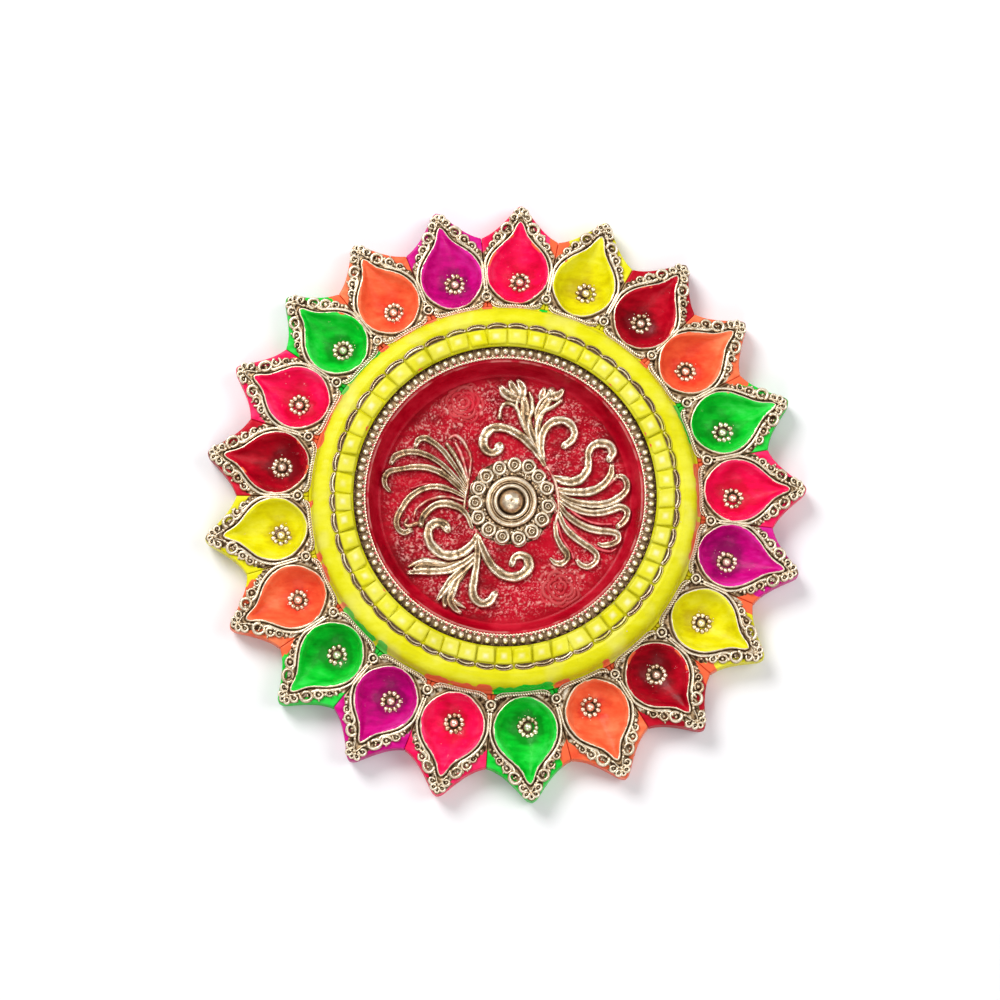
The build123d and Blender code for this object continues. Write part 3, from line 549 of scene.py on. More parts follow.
def ridge(B, path, w, h, z, prof="round", ends=True, skirt=0.4, tone=1.0,
          **att):
    """Raised line: path (n,2), half widths w, heights h."""
    path = np.asarray(path, float)
    n = len(path)
    w = np.broadcast_to(np.asarray(w, float), (n,)).copy()
    h = np.broadcast_to(np.asarray(h, float), (n,)).copy()
    T = tangents(path)
    Nn = np.stack([-T[:, 1], T[:, 0]], -1)
    if np.ndim(tone):
        tone = np.asarray(tone, float)
        if ends:
            tone = np.pad(tone, 3, mode="edge")
        tone = tone[:, None]
    if ends:                       # round both ends
        cap = []
        for k, sgn in ((0, -1), (-1, 1)):
            pts, ww, hh = [], [], []
            for a in (0.5, 0.87, 0.985):
                pts.append(path[k] + sgn * T[k] * w[k] * a)
                c = math.sqrt(1 - a * a)
                ww.append(w[k] * c)
                hh.append(h[k] * (0.35 + 0.65 * c))
            cap.append((np.array(pts), ww, hh))
        path = np.vstack([cap[0][0][::-1], path, cap[1][0]])
        w = np.concatenate([cap[0][1][::-1], w, cap[1][1]])
        h = np.concatenate([cap[0][2][::-1], h, cap[1][2]])
        Nn = np.vstack([np.repeat(Nn[:1], 3, 0), Nn,
                        np.repeat(Nn[-1:], 3, 0)])
    # cv feeds cav: painted highlight along the crest, painted shade towards the edges
    if prof == "round":
        a = np.linspace(0, math.pi, 9)
        off, hh = np.cos(a), np.sin(a)
        cv = np.sin(a)
    elif prof == "twin":           # ribbon with a groove along the middle
        off = np.array([1, .97, .86, .66, .44, .22, 0, -.22, -.44, -.66,
                        -.86, -.97, -1])
        hh = np.array([0, .45, .84, 1.0, .97, .80, .70, .80, .97, 1.0, .84,
                       .45, 0])
        cv = np.array([.12, .4, .82, 1, .92, .52, .34, .52, .92, 1, .82, .4,
                       .12])
    elif prof == "vee":
        off = np.array([1, .8, .4, 0, -.4, -.8, -1])
        hh = np.array([0, .5, .88, 1, .88, .5, 0])
        cv = np.array([0, .3, .8, 1, .8, .3, 0])
    off = np.concatenate([[off[0]], off, [off[-1]]])
    hh = np.concatenate([[0], hh, [0]])
    cv = np.concatenate([[0], cv, [0]])
    sk = np.zeros(len(off))
    sk[0] = sk[-1] = -skirt
    P = np.zeros((len(path), len(off), 3))
    P[..., :2] = path[:, None, :] + Nn[:, None, :] * \
        (w[:, None] * off[None, :])[..., None]
    zz = np.broadcast_to(np.asarray(z, float), (len(path),)) \
        if np.ndim(z) else np.full(len(path), z)
    P[..., 2] = zz[:, None] + h[:, None] * hh[None, :] + sk[None, :]
    C = np.broadcast_to(cv[None, :], P.shape[:2])
    B.grid(P, cav=C * tone, flip=False, **att)


def rope(B, path, r, z, pitch, strands=2, amp=0.45, closed=False, seed=0,
         squash=1.0, **att):
    """Twisted strands lying along a path."""
    path = np.asarray(path, float)
    d = np.concatenate([[0], np.cumsum(np.linalg.norm(
        np.diff(path, axis=0), axis=1))])
    if closed:
        turns = max(1, round(d[-1] / pitch))
        pitch = d[-1] / turns
    T = tangents(path)
    if closed:
        T[0] = T[-1] = (T[0] + T[-1]) / 2
    Nn = np.stack([-T[:, 1], T[:, 0]], -1)
    a = np.linspace(-0.15, math.pi + 0.15, 8)
    for s in range(strands):
        ph = 2 * math.pi * d / pitch + 2 * math.pi * s / strands
        cx = path + Nn * (r * amp * np.cos(ph))[:, None]
        cz = z + r * amp * (1 + np.sin(ph)) * squash
        rr = r * (1 - amp * 0.45)
        P = np.zeros((len(path), len(a), 3))
        P[..., :2] = cx[:, None, :] + Nn[:, None, :] * \
            (rr * np.cos(a))[None, :, None]
        P[..., 2] = cz[:, None] + (rr * squash * np.sin(a))[None, :]
        # painted highlight on the top of each strand, painted shade low down and
        # where it dips
        C = np.clip(0.15 + 0.55 * np.sin(a)[None, :]
                    + 0.35 * np.sin(ph)[:, None], 0, 1)
        B.grid(P, cav=C, flip=False, **att)


def polar_of(points, centre, n_guard=3):
    """Angle-sorted polar form of a star-shaped outline."""
    p = np.asarray(points, float) - np.asarray(centre, float)
    th = np.arctan2(p[:, 1], p[:, 0])
    r = np.hypot(p[:, 0], p[:, 1])
    o = np.argsort(th)
    th, r = th[o], r[o]
    th = np.concatenate([th[-n_guard:] - 2 * math.pi, th,
                         th[:n_guard] + 2 * math.pi])
    r = np.concatenate([r[-n_guard:], r, r[:n_guard]])
    return th, r


TEAR = [(140.4, 0.0), (139.8, 0.65), (138.2, 1.5), (135.6, 2.5),
        (132.6, 4.2), (129.6, 6.8), (126.2, 10.0), (122.6, 12.65),
        (118.6, 14.3), (114.4, 14.9), (110.2, 14.3), (106.2, 12.3),
        (102.6, 8.9), (99.9, 4.7), (98.9, 0.0)]
# where the hollow of each cup ends towards its tip
BOWL_TIP = [139.8, 140.5, 141.2, 140.6, 141.6, 140.0, 141.0, 139.6, 137.8,
            139.0, 140.2, 139.2, 138.6, 140.6, 139.4, 139.2, 139.8, 138.4,
            139.4, 139.6, 140.2]
PETAL = [(150.0, 0.0), (149.4, 1.5), (148.3, 2.9), (146.6, 4.3),
         (144.4, 6.0), (142.0, 7.9), (139.5, 10.1), (137.0, 12.5),
         (135.0, 14.8), (133.2, 17.4), (131.8, 20.2), (131.0, 24.0)]
C0 = np.array([113.0, 0.0])


def tear_outline(off, i=None):
    half = catmull(TEAR, 10)
    if i is not None:
        k = (BOWL_TIP[i] - 124.0) / (TEAR[0][0] - 124.0)
        u = half[:, 0]
        half[:, 0] = np.where(u > 124, 124 + (u - 124) * k, u)
    T = tangents(half)
    Nn = np.stack([T[:, 1], -T[:, 0]], -1)      # outward on the +v side
    side = half + Nn * off
    side[-1] = (TEAR[-1][0] - off, 0.0)
    side = side[(side[:, 1] > 0.02)]
    tip = np.array([[half[0, 0] + off * 1.15, 0.0]])
    heel = np.array([[TEAR[-1][0] - off, 0.0]])
    return np.vstack([tip, side, heel, side[::-1] * [1, -1]])


TEAR_CACHE = {}


def tear_r(off, th, i):
    if (off, i) not in TEAR_CACHE:
        TEAR_CACHE[(off, i)] = polar_of(tear_outline(off, i), C0)
    a, r = TEAR_CACHE[(off, i)]
    return np.interp(th, a, r)
def petal_r(inset, th):
    half = catmull(PETAL, 8)
    T = tangents(half)
    Nn = np.stack([T[:, 1], -T[:, 0]], -1)
    side = half - Nn * inset
    side[0] = (PETAL[0][0] - inset, 0.0)
    side = side[np.concatenate([[True], side[1:, 1] > 0.05])]
    p = side - C0
    a, r = np.arctan2(p[:, 1], p[:, 0]), np.hypot(p[:, 0], p[:, 1])
    o = np.argsort(a)
    return np.interp(np.abs(th), a[o], r[o], right=60.0)


def bowl_surface(u, v, tip):
    """Height of the hollow: a ball runs into a cone towards the tip."""
    R, cu, cz, zt = 15.6, 113.0, 20.0, 15.6
    d2 = (u - cu) ** 2 + v ** 2
    zs = np.where(d2 < R * R, cz - np.sqrt(np.maximum(R * R - d2, 0)), 99.0)
    du, dz = tip - cu, zt - cz
    L = math.hypot(du, dz)
    ax, az = -du / L, -dz / L
    c2 = 1 - (R / L) ** 2
    wx, wy = u - tip, v
    A = az * az - c2
    Bq = 2 * wx * ax * az
    Cq = wx * wx * ax * ax - c2 * (wx * wx + wy * wy)
    disc = Bq * Bq - 4 * A * Cq
    ok = (disc > 0) & (wx < 0)
    root = np.sqrt(np.maximum(disc, 0))
    z1 = (-Bq + root) / (2 * A)
    z2 = (-Bq - root) / (2 * A)
    zc = np.where(ok, np.minimum(z1, z2) + zt, 99.0)
    zc = np.where(u > cu + 7.0, zc, 99.0)
    return np.minimum(zs, zc)


def to_world(a, u, v):
    r = math.radians(a)
    return u * math.sin(r) - v * math.cos(r), \
        u * math.cos(r) + v * math.sin(r)


FLANGE = 13.5


def neighbours(i):
    a = CUPS[i]
    prev = CUPS[i - 1] - (360 if i == 0 else 0)
    nxt = CUPS[(i + 1) % 21] + (360 if i == 20 else 0)
    return (a - prev) / 2, (nxt - a) / 2


def outer_r(th, hp, hm, inset, gap=0.0, wall=97.0):
    r = petal_r(inset, th)
    for h, sgn in ((hp, 1), (hm, -1)):
        hh = math.radians(h)
        den = np.sin(sgn * th - hh)
        t = np.where(den > 1e-6, (113 * math.sin(hh) - gap)
                     / np.maximum(den, 1e-6), 1e3)
        r = np.minimum(r, t)
    # round plate wall
    c, s = np.cos(th), np.sin(th)
    b = 113 * c
    disc = b * b - (113 ** 2 - wall ** 2)
    t = np.where((disc > 0) & (b < 0), -b - np.sqrt(np.maximum(disc, 0)),
                 1e3)
    return np.minimum(r, t)


# stray paint at the joint after each cup (cup 1/2, 2/3, ...)
JOINT_PAINT = ["yellow", "yellow", "orange", "green", "orange", "orange",
               "yellow", "yellow", "orange", "green", "orange", "orange",
               "green", "orange", "yellow", "yellow", "orange", "green",
               "orange", "orange", "orange"]
VALLEY_PAINT = ["orange", "", "", "orange", "", "", "orange", "orange", "",
                "orange", "", "", "", "orange", "yellow", "", "", "",
                "orange", "", ""]


LIP_STRAY = (0, 2, 8, 16)
STUDS = [(111.4, -1.3), (113.1, -1.9), (113.0, 0.7), (111.8, -1.2),
         (113.9, -3.6), (113.3, -2.6), (114.1, -2.4), (114.7, -0.7),
         (114.4, 0.5), (110.8, -1.8), (112.9, 1.4), (113.2, 0.3),
         (114.4, 2.3), (113.0, 1.2), (113.7, 1.3), (112.4, 2.4),
         (112.3, 0.8), (113.6, 2.2), (111.4, -0.4), (110.8, -0.3),
         (112.9, -1.2)]
TOP_IN = 0.8


def make_cup(i):
    a = CUPS[i]
    hp, hm = neighbours(i)
    tipu = BOWL_TIP[i] + 1.3
    fine = np.linspace(-math.pi, math.pi, 2401)[:-1]
    Rf = outer_r(fine, hp, hm, TOP_IN, 0.12)
    pts = np.stack([Rf * np.cos(fine), Rf * np.sin(fine)], -1)
    seg = np.linalg.norm(np.roll(pts, -1, 0) - pts, axis=1) + 0.02
    seg *= 1 + 0.8 * np.exp(-(fine / 0.5) ** 2)     # denser at the tip
    cs = np.concatenate([[0], np.cumsum(seg)])
    nth = 210
    th = np.interp(np.arange(nth) / nth * cs[-1], cs,
                   np.concatenate([fine, [math.pi]]))
    Rb = tear_r(0.0, th, i)
    Rt = outer_r(th, hp, hm, TOP_IN, 0.10)
    Rm = outer_r(th, hp, hm, 0.0, 0.02)
    R0 = outer_r(th, hp, hm, 0.9, 0.02)
    rows, deep, wash_shade_rows = [], [], []
    seed = 100 + i * 7

    def uv(r):
        return 113 + r * np.cos(th), r * np.sin(th)

    def add(r, z, dp, cv):
        u, v = uv(r)
        rows.append((u, v, np.broadcast_to(np.asarray(z, float),
                                           (nth,)).copy()))
        deep.append(np.broadcast_to(dp, (nth,)))
        wash_shade_rows.append(np.broadcast_to(cv, (nth,)))

    ss = np.concatenate([[0.03], np.linspace(0.08, 0.9, 20),
                         [0.94, 0.97, 1.0]])
    for s in ss:
        r = s * Rb
        u, v = uv(r)
        z = np.minimum(bowl_surface(u, v, tipu), 14.9)
        w = smooth(0.88, 1.0, s)
        # painted shade: the paint colour darkens with depth in the hollow
        dp = 0.42 * np.clip((14.2 - z) / 9.4, 0, 1) ** 1.15
        # painted shade: darker paint colour round the stud as well
        ds = np.hypot(u - STUDS[i][0], v - STUDS[i][1])
        dp = dp + np.exp(-(ds / 7.4) ** 4) * np.clip(
            0.62 + 1.5 * (fbm(u / 2.6, v / 2.6, seed=seed + 31) - .5), 0, 1)
        z = z * (1 - w) + 14.95 * w
        z = z + 0.34 * (fbm(u / 5.0, v / 5.0, seed=seed) - .5) * \
            (1 - w) + 0.12 * (vnoise(u / 1.6, v / 1.6, seed=seed + 3) - .5)
        add(r, z, dp, 0.8)
    lim = np.maximum(Rt - 0.3, Rb + 0.1)
    lipn = 0.3 * (fbm(np.cos(th) * 5, np.sin(th) * 5, seed=seed + 5) - .5)
    # lip rings: painted highlight on the lip crest, painted shade in the crease
    # outside it
    for off, z, cv in ((0.22, 15.1, .75), (0.5, 15.2, .9),
                       (0.8, 14.95, .75), (1.1, 14.1, .25),
                       (1.5, 13.2, 0.08), (2.15, 13.3, 0.5)):
        r = np.minimum(tear_r(off, th, i) + lipn, lim - 0.02 * (2.2 - off))
        u, v = uv(r)
        add(r, z + 0.16 * (vnoise(u / 2.5, v / 2.5, seed=seed) - .5), 0, cv)
    Rl = np.minimum(tear_r(2.15, th, i) + lipn, lim)
    for f in (0.12, 0.3, 0.5, 0.7, 0.86):
        r = Rl + (np.maximum(Rt - 0.55, Rl) - Rl) * f
        u, v = uv(r)
        zz = FLANGE - 0.1 + 0.5 * (fbm(u / 2.2, v / 2.2, seed=seed + 9)
                                   - .5) + \
            0.3 * (vnoise(u / 1.0, v / 1.0, seed=seed + 2) - .5)
        add(r, zz, 0, 0.04 + 0.85 * smooth(0.45, 0.85, vnoise(
            u / 1.2, v / 1.2, seed=seed + 4)))
    add(np.maximum(Rt - 0.55, Rl), 13.42, 0, 0.25)
    add(Rt - 0.2, 13.2, 0, 0.2)
    add(Rt, 12.7, 0, 0.1)
    # skirt and underside: painted shade darkens the paint colour
    for k, z in ((0.25, 11.4), (0.55, 9.3), (0.85, 7.0), (1.0, 5.2)):
        r = Rt + (Rm - Rt) * k
        wob = 0.35 * (fbm(np.cos(th) * 5, np.sin(th) * 5, z / 4,
                          seed=seed + 21) - .5)
        r = np.where(Rm - Rt > 1.0, np.minimum(r + wob, Rm), r)
        add(r, z, 0.15, 0.8)
    for k, z in ((0.15, 3.2), (0.6, 1.2), (1.0, 0.25), (1.06, 0.02)):
        add(Rm + (R0 - Rm) * k, z, 0.4, 0.8)
    U = np.array([r[0] for r in rows])
    V = np.array([r[1] for r in rows])
    Z = np.array([r[2] for r in rows])
    X, Y = to_world(a, U, V)
    rr = np.hypot(U - 113, V)
    thg = np.broadcast_to(th, U.shape)
    t0, t1, t2 = (tear_r(o, thg, i) for o in (0.0, 1.1, 3.6))
    off = np.where(rr < t1, (rr - t0) / np.maximum(t1 - t0, 0.2) * 1.1,
                   1.1 + (rr - t1) / np.maximum(t2 - t1, 0.4) * 2.5)
    prad = np.hypot(U, V)
    wn = fbm(X / 4, Y / 4, seed=41) - .5
    wn2 = fbm(X / 1.7, Y / 1.7, seed=43) - .5
    inner = smooth(0.16, 0.46, off + 0.5 * wn + 0.5 * wn2)
    outer = 1 - smooth(5.0, 5.7, off + 2.0 * wn + 1.0 * wn2)
    valley = 1 - smooth(121.0, 123.5, prad + 5 * wn)
    rim_d = petal_r(0.0, thg) - rr           # distance from the outline
    edge_ok = np.maximum(smooth(1.3, 2.0, rim_d + 2.2 * wn + 0.9 * wn2
                                + 0.5 * np.sin(thg) * (U > 125)), valley)
    # at the point the metal paint runs nearly to the edge
    tipz = smooth(141.0, 143, U) * smooth(0.9, 1.5, rim_d + 1.8 * wn)
    zc = smooth(12.4, 13.0, Z)
    zin = smooth(14.2, 14.8, Z + 1.2 * (rr > t0))
    gold = inner * np.maximum(np.maximum(outer, valley) * edge_ok,
                              tipz) * np.where(rr > t0 - 0.05, zc, zin)
    cav = np.array(wash_shade_rows) + 0.2 * wn2
    # stray paint
    dp_ = np.abs(U * math.sin(math.radians(hp))
                 - V * math.cos(math.radians(hp)))
    dm_ = np.abs(U * math.sin(math.radians(hm))
                 + V * math.cos(math.radians(hm)))
    att = {}
    for b in STRAY:
        m = np.zeros_like(U)
        for dd, jp, vp in ((dm_, JOINT_PAINT[i], VALLEY_PAINT[i]),
                           (dp_, JOINT_PAINT[i - 1], VALLEY_PAINT[i - 1])):
            if jp == b:
                tri = smooth(101.3, 99.6, prad + 2.0 * wn + dd * 0.55) * \
                    smooth(5.2, 3.2, dd + 3 * wn)
                m = np.maximum(m, tri)
            if vp == b:
                val = smooth(6.0, 3.5, dd + 5 * wn) * smooth(120.5, 123.5,
                                                            prad) * \
                    smooth(0.1, 0.5, 1 - gold)
                m = np.maximum(m, val)
        if b == "orange":
            rim = smooth(1.3, 0.2, np.abs(off)) * smooth(
                0.60, 0.72, fbm(X / 7, Y / 7, seed=77 + i))
            m = np.maximum(m, 0.8 * rim * (Z > 13) * (i in LIP_STRAY))
        m = m * smooth(0.3, 2.5, Z)          # none on the underside
        att["b_" + b] = m
        gold = gold * (1 - 0.9 * smooth(0.35, 0.6, m) * (prad < 102))
    B = Builder()
    P = np.stack([X, Y, Z], -1)
    idx = B.grid(P, close_u=True, flip=True, gold=gold, cav=cav,
                 deep=np.array(deep), pale=0.0, **att)
    xc, yc = to_world(a, 113.0, 0.0)
    # painted shade at the bottom of the hollow and under the cup
    B.fan(idx[0], (xc, yc, 4.45), gold=0, cav=.8, deep=1)
    B.fan(idx[-1], (xc, yc, 0.02), flip=True, gold=0, cav=.8, deep=.5)
    k = KIND[i]
    return B.build("cup_%02d_%s" % (i + 1, k), M_CUP[k],
                   ("diya_cup_%02d" % (i + 1),))


cups = [make_cup(i) for i in range(21)]


# ---------------------------------------------------------------------------
# gold trim around each cup
# ---------------------------------------------------------------------------
def curl(B, u, v, z, rx, ry, rot, tube, h, a0, span, sgn=1, bead=True,
         **att):
    """Open loop of clay with a bead in its eye."""
    n = max(14, int(span / 0.3))
    t = np.linspace(a0, a0 + span, n)
    sq = np.linspace(1.0, 0.8, n)
    c, s = math.cos(rot), math.sin(rot)
    lx, ly = rx * sq * np.cos(t), ry * sq * np.sin(t)
    path = np.stack([u + lx * c - ly * s, sgn * (v + lx * s + ly * c)], -1)
    ridge(B, path, np.linspace(tube, tube * 0.75, n),
          np.linspace(h, h * 0.85, n), z, prof="round", **att)
    if bead:
        rb = max(0.4, min(rx, ry) - tube - 0.12)
        dome(B, u, sgn * v, z, rb, rb, h * 0.85, lo=0.3, **att)


def make_trim(i):
    a = CUPS[i]
    hp, hm = neighbours(i)
    g = np.random.default_rng(500 + i)
    B = Builder()
    zf = FLANGE - 0.1
    sh = BOWL_TIP[i] - 140.4

    def J(s=0.2):
        return float(np.clip(g.normal(0, s), -2 * s, 2 * s))

    for sgn in (1, -1):
        hr = math.radians(hp if sgn > 0 else hm)
        along = math.radians(137)          # direction of the petal edge

        def ok(v, u, m=0.9):
            return min(v, u * math.tan(hr) - m)

        # strand: beside the joint, then along the lip into the scroll
        o = tear_outline(2.45, i)
        o = o[(o[:, 1] > 0.5)]
        o = o[np.argsort(o[:, 0])]
        us = np.array([105.2, 108, 111, 114, 117, 120, 123, 126, 129, 131.6])
        vs = np.minimum(np.interp(us, o[:, 0], o[:, 1]),
                        us * math.tan(hr) - 0.62)
        vs[:3] = us[:3] * math.tan(hr) - 0.62
        path = np.vstack([np.stack([us, vs], -1),
                          [[133.8, 7.2 + J(.1)]]])
        path = catmull(path, 5)
        path[:, 1] *= sgn
        n = len(path)
        wv = np.linspace(0.62, 0.98, n)
        wv = wv * (1 + 0.3 * (vnoise(np.arange(n) / 3.0, 0.0,
                                     seed=30 + i) - .5))
        ridge(B, path, wv, np.linspace(1.1, 1.75, n), zf)
        # big scroll beside the point of the bowl
        u0, v0 = 137.1 + J(.25) + 0.5 * sh, 6.85 + J(.2)
        curl(B, u0, v0, zf, 3.1 + J(.2), 2.6 + J(.15), along, 1.08, 2.3,
             math.radians(150 + J(22)), math.radians(325), sgn, bead=False,
             tone=.74 + .26 * g.random())
        for q in range(2):
            t = g.random() * 6.28
            dome(B, u0 + 0.6 * math.cos(t), sgn * (v0 + 0.5 * math.sin(t)),
                 zf, 0.78, 0.62, 1.3 + 0.2 * q, rot=t, nr=4, ns=10,
                 tone=.85)
        # smaller ones run down the edge
        for (uu, vv, r, tb) in ((132.2, 10.9, 2.05, .9),
                                (128.3, 13.9, 1.6, .78)):
            uu, vv = uu + J(.25), ok(vv + J(.25), uu, 2.1)
            r *= 1 + J(.07)
            curl(B, uu, vv, zf, r * 1.18, r, along + J(.15), tb, 1.95,
                 math.radians(90 + J(60)), math.radians(285), sgn,
                 tone=.66 + .34 * g.random())
        for (uu, vv, r) in ((134.9, 9.5, 1.2), (134.2, 12.2, .7),
                            (130.1, 12.7, 1.15), (135.0, 5.9, .75),
                            (129.7, 10.3, .85), (125.6, 15.6, 1.15),
                            (123.4, 16.3, .8)):
            uu, vv = uu + J(.22), ok(vv + J(.22), uu, 1.4)
            dome(B, uu, sgn * vv, zf, r * 1.15, r * .85, 1.5, rot=J(1),
                 nr=4, ns=10, lo=.2, tone=.75 + .25 * g.random())
        # inner lip chain between bowl and scroll
        for (uu, vv) in ((139.4 + sh, 3.7), (140.9 + sh, 2.8)):
            dome(B, uu + J(.12), sgn * (vv + J(.1)), zf, 1.2, 0.8, 1.7,
                 rot=sgn * math.radians(140), nr=5, ns=12)
        # side loops of the palmette
        curl(B, 142.7 + J(.2), 3.6 + J(.12), zf, 1.85, 1.5,
             math.radians(125 + J(12)), 0.84, 2.15,
             math.radians(160 + J(25)), math.radians(290), sgn)
        curl(B, 145.5 + J(.2), 2.15 + J(.12), zf, 1.6, 1.3,
             math.radians(70 + J(12)), 0.8, 2.2,
             math.radians(200 + J(25)), math.radians(300), sgn)
    curl(B, 146.7 + J(.12), J(.25), zf, 1.3, 1.15, 0, 0.68, 1.9,
         math.radians(180 + J(25)), math.radians(310), 1, bead=False)
    dome(B, 144.0 + J(.15), J(.2), zf, 1.15, 1.0, 2.3, nr=5, ns=14)
    for s in (1, -1):
        path = catmull([(143.8, s * 0.6), (142.5, s * 1.35),
                        (141.0 + sh * .6, s * 2.2)], 5)
        ridge(B, path, 0.42, 1.5, zf)
    for k in range(len(B.v)):
        v = B.v[k]
        x, y = to_world(a, v[:, 0], v[:, 1])
        B.v[k] = np.stack([x, y, v[:, 2]], -1)
    return B.build("trim_%02d" % (i + 1), M_GOLD,
                   ("cup_trim_%02d" % (i + 1),))


for i in range(21):
    make_trim(i)


def make_joints():
    B = Builder()
    g = np.random.default_rng(610)
    for i in range(21):
        hp, hm = neighbours(i)
        am = CUPS[i] + hm
        x, y = to_world(am, 102.0 + g.normal(0, .2), g.normal(0, .2))
        ring(B, x, y, FLANGE - 0.1, 2.1 + g.normal(0, .08), 0.68, 1.75,
             ns=26, jag=0.12, seed=i)
        r = 1.1 + g.normal(0, .12)
        dome(B, x + g.normal(0, .12), y + g.normal(0, .12), FLANGE - 0.1,
             r, r, 2.2, nr=7, ns=18, lo=0.3)
        for s in (-1, 1):
            x, y = to_world(am, 105.2, s * 1.0)
            dome(B, x, y, FLANGE - 0.1, 0.85, 0.7, 1.3, nr=4, ns=10)
        x, y = to_world(am, 106.9, g.normal(0, .2))
        dome(B, x, y, FLANGE - 0.1, 1.0, 0.55, 1.2, nr=4, ns=10,
             rot=math.radians(90 - am))
    return B.build("joint_beads", M_GOLD, ("junction_beads",))


make_joints()



def make_studs():
    B = Builder()
    g = np.random.default_rng(90)
    for i, a in enumerate(CUPS):
        u, v = STUDS[i]
        tip = BOWL_TIP[i] + 1.3

        def zat(uu, vv):
            return float(bowl_surface(np.array([uu]), np.array([vv]),
                                      tip)[0])

        def put(du, dv):
            return to_world(a, u + du, v + dv)

        x, y = put(0, 0)
        zb = zat(u, v)
        # thin pressed pad, dark as painted shade in the moat round the button, then
        # the button
        dome(B, x, y, zb - 0.1, 4.2, 4.2, 0.62, nr=5, ns=26, lo=0.5,
             tone=.14, skirt=0.5)
        dome(B, x, y, zb + 0.1, 2.3, 2.3, 2.3, nr=8, ns=24, lo=0.2,
             skirt=0.5)
        m = int(g.integers(10, 13))
        ph = g.random() * 6.28
        for k in range(m):
            t = ph + 2 * math.pi * (k + g.normal(0, 0.06)) / m
            rr = 4.2 + g.normal(0, 0.16)
            du, dv = rr * math.cos(t), rr * math.sin(t)
            xx, yy = put(du, dv)
            zz = zat(u + du, v + dv)
            rot = math.atan2(yy - y, xx - x)
            dome(B, xx, yy, zz - 0.1, 1.45 + g.normal(0, .14),
                 1.36 + g.normal(0, .07), 1.15, rot=rot, nr=5, ns=14,
                 skirt=0.5, lo=0.0, tone=.65 + .35 * g.random())
        for k in range(int(g.integers(2, 6))):
            t = g.random() * 6.28
            rr = g.uniform(5.4, 6.6)
            du, dv = rr * math.cos(t), rr * math.sin(t)
            xx, yy = put(du, dv)
            dome(B, xx, yy, zat(u + du, v + dv) - 0.1, 0.38, 0.32, 0.4,
                 nr=3, ns=8, lo=.4)
    return B.build("bowl_studs", M_GOLD, ("cup_studs",))


make_studs()


# ---------------------------------------------------------------------------
# plate: clay body, red dish, yellow band, tiles, beads
# ---------------------------------------------------------------------------
def revolved(prof, nseg, close=False):
    th = np.arange(nseg) * 2 * math.pi / nseg
    prof = np.asarray(prof, float)
    P = np.zeros((len(prof), nseg, 3))
    P[..., 0] = prof[:, 0][:, None] * np.cos(th)
    P[..., 1] = prof[:, 0][:, None] * np.sin(th)
    P[..., 2] = prof[:, 1][:, None]
    return P, th


def make_clay():
    B = Builder()
    prof = [(96.98, 14.4), (96.99, 8), (96.99, 1.0), (96.6, 0.2),
            (96.0, 0.0), (93.6, 0.0), (93.0, 0.5), (92.0, 8), (91.2, 15.2),
            (90.2, 16.0), (80, 16.05), (70.2, 16.0), (68.9, 15.0),
            (67.4, 8.0), (66.3, 0.6), (65.6, 0.0), (50, 0.0), (30, 0.0),
            (12, 0.0)]
    P, th = revolved(catmull(prof, 3) if False else np.array(prof), 300)
    n = fbm(P[..., 0] / 12, P[..., 1] / 12, P[..., 2] / 12, seed=3) - .5
    P[..., 2] = np.maximum(P[..., 2] + 0.3 * n * (P[..., 2] > 2), 0)
    idx = B.grid(P, close_u=True, flip=True)
    B.fan(idx[-1], (0, 0, 0), flip=True)
    return B.build("plate_clay", M_CLAY, ("thali_body",))


make_clay()

SMOOTH_ZONES = [(3, 29, 9), (27, 31, 8), (44, 8, 12), (50, 4, 9),
                (45, -9, 10), (38, -16, 9), (30, -22, 6), (-9, -42, 6),
                (2, -30, 9), (14, -27, 9), (18, -24, 7), (-46, 8, 13),
                (-36, 20, 9), (-30, 10, 8), (-38, -2, 7), (-14, 22, 8),
                (-21, 20, 8), (-5, 31, 7), (-20, -22, 5), (24, -20, 6)]


MED = (3.2, -1.5)        # the medallion sits a little off centre


def stipple_mask(x, y):
    m = np.ones_like(x)
    for cx, cy, r in SMOOTH_ZONES:
        d = np.hypot(x - cx, y - cy)
        m = np.minimum(m, smooth(r * 0.75, r * 1.1, d))
    return m


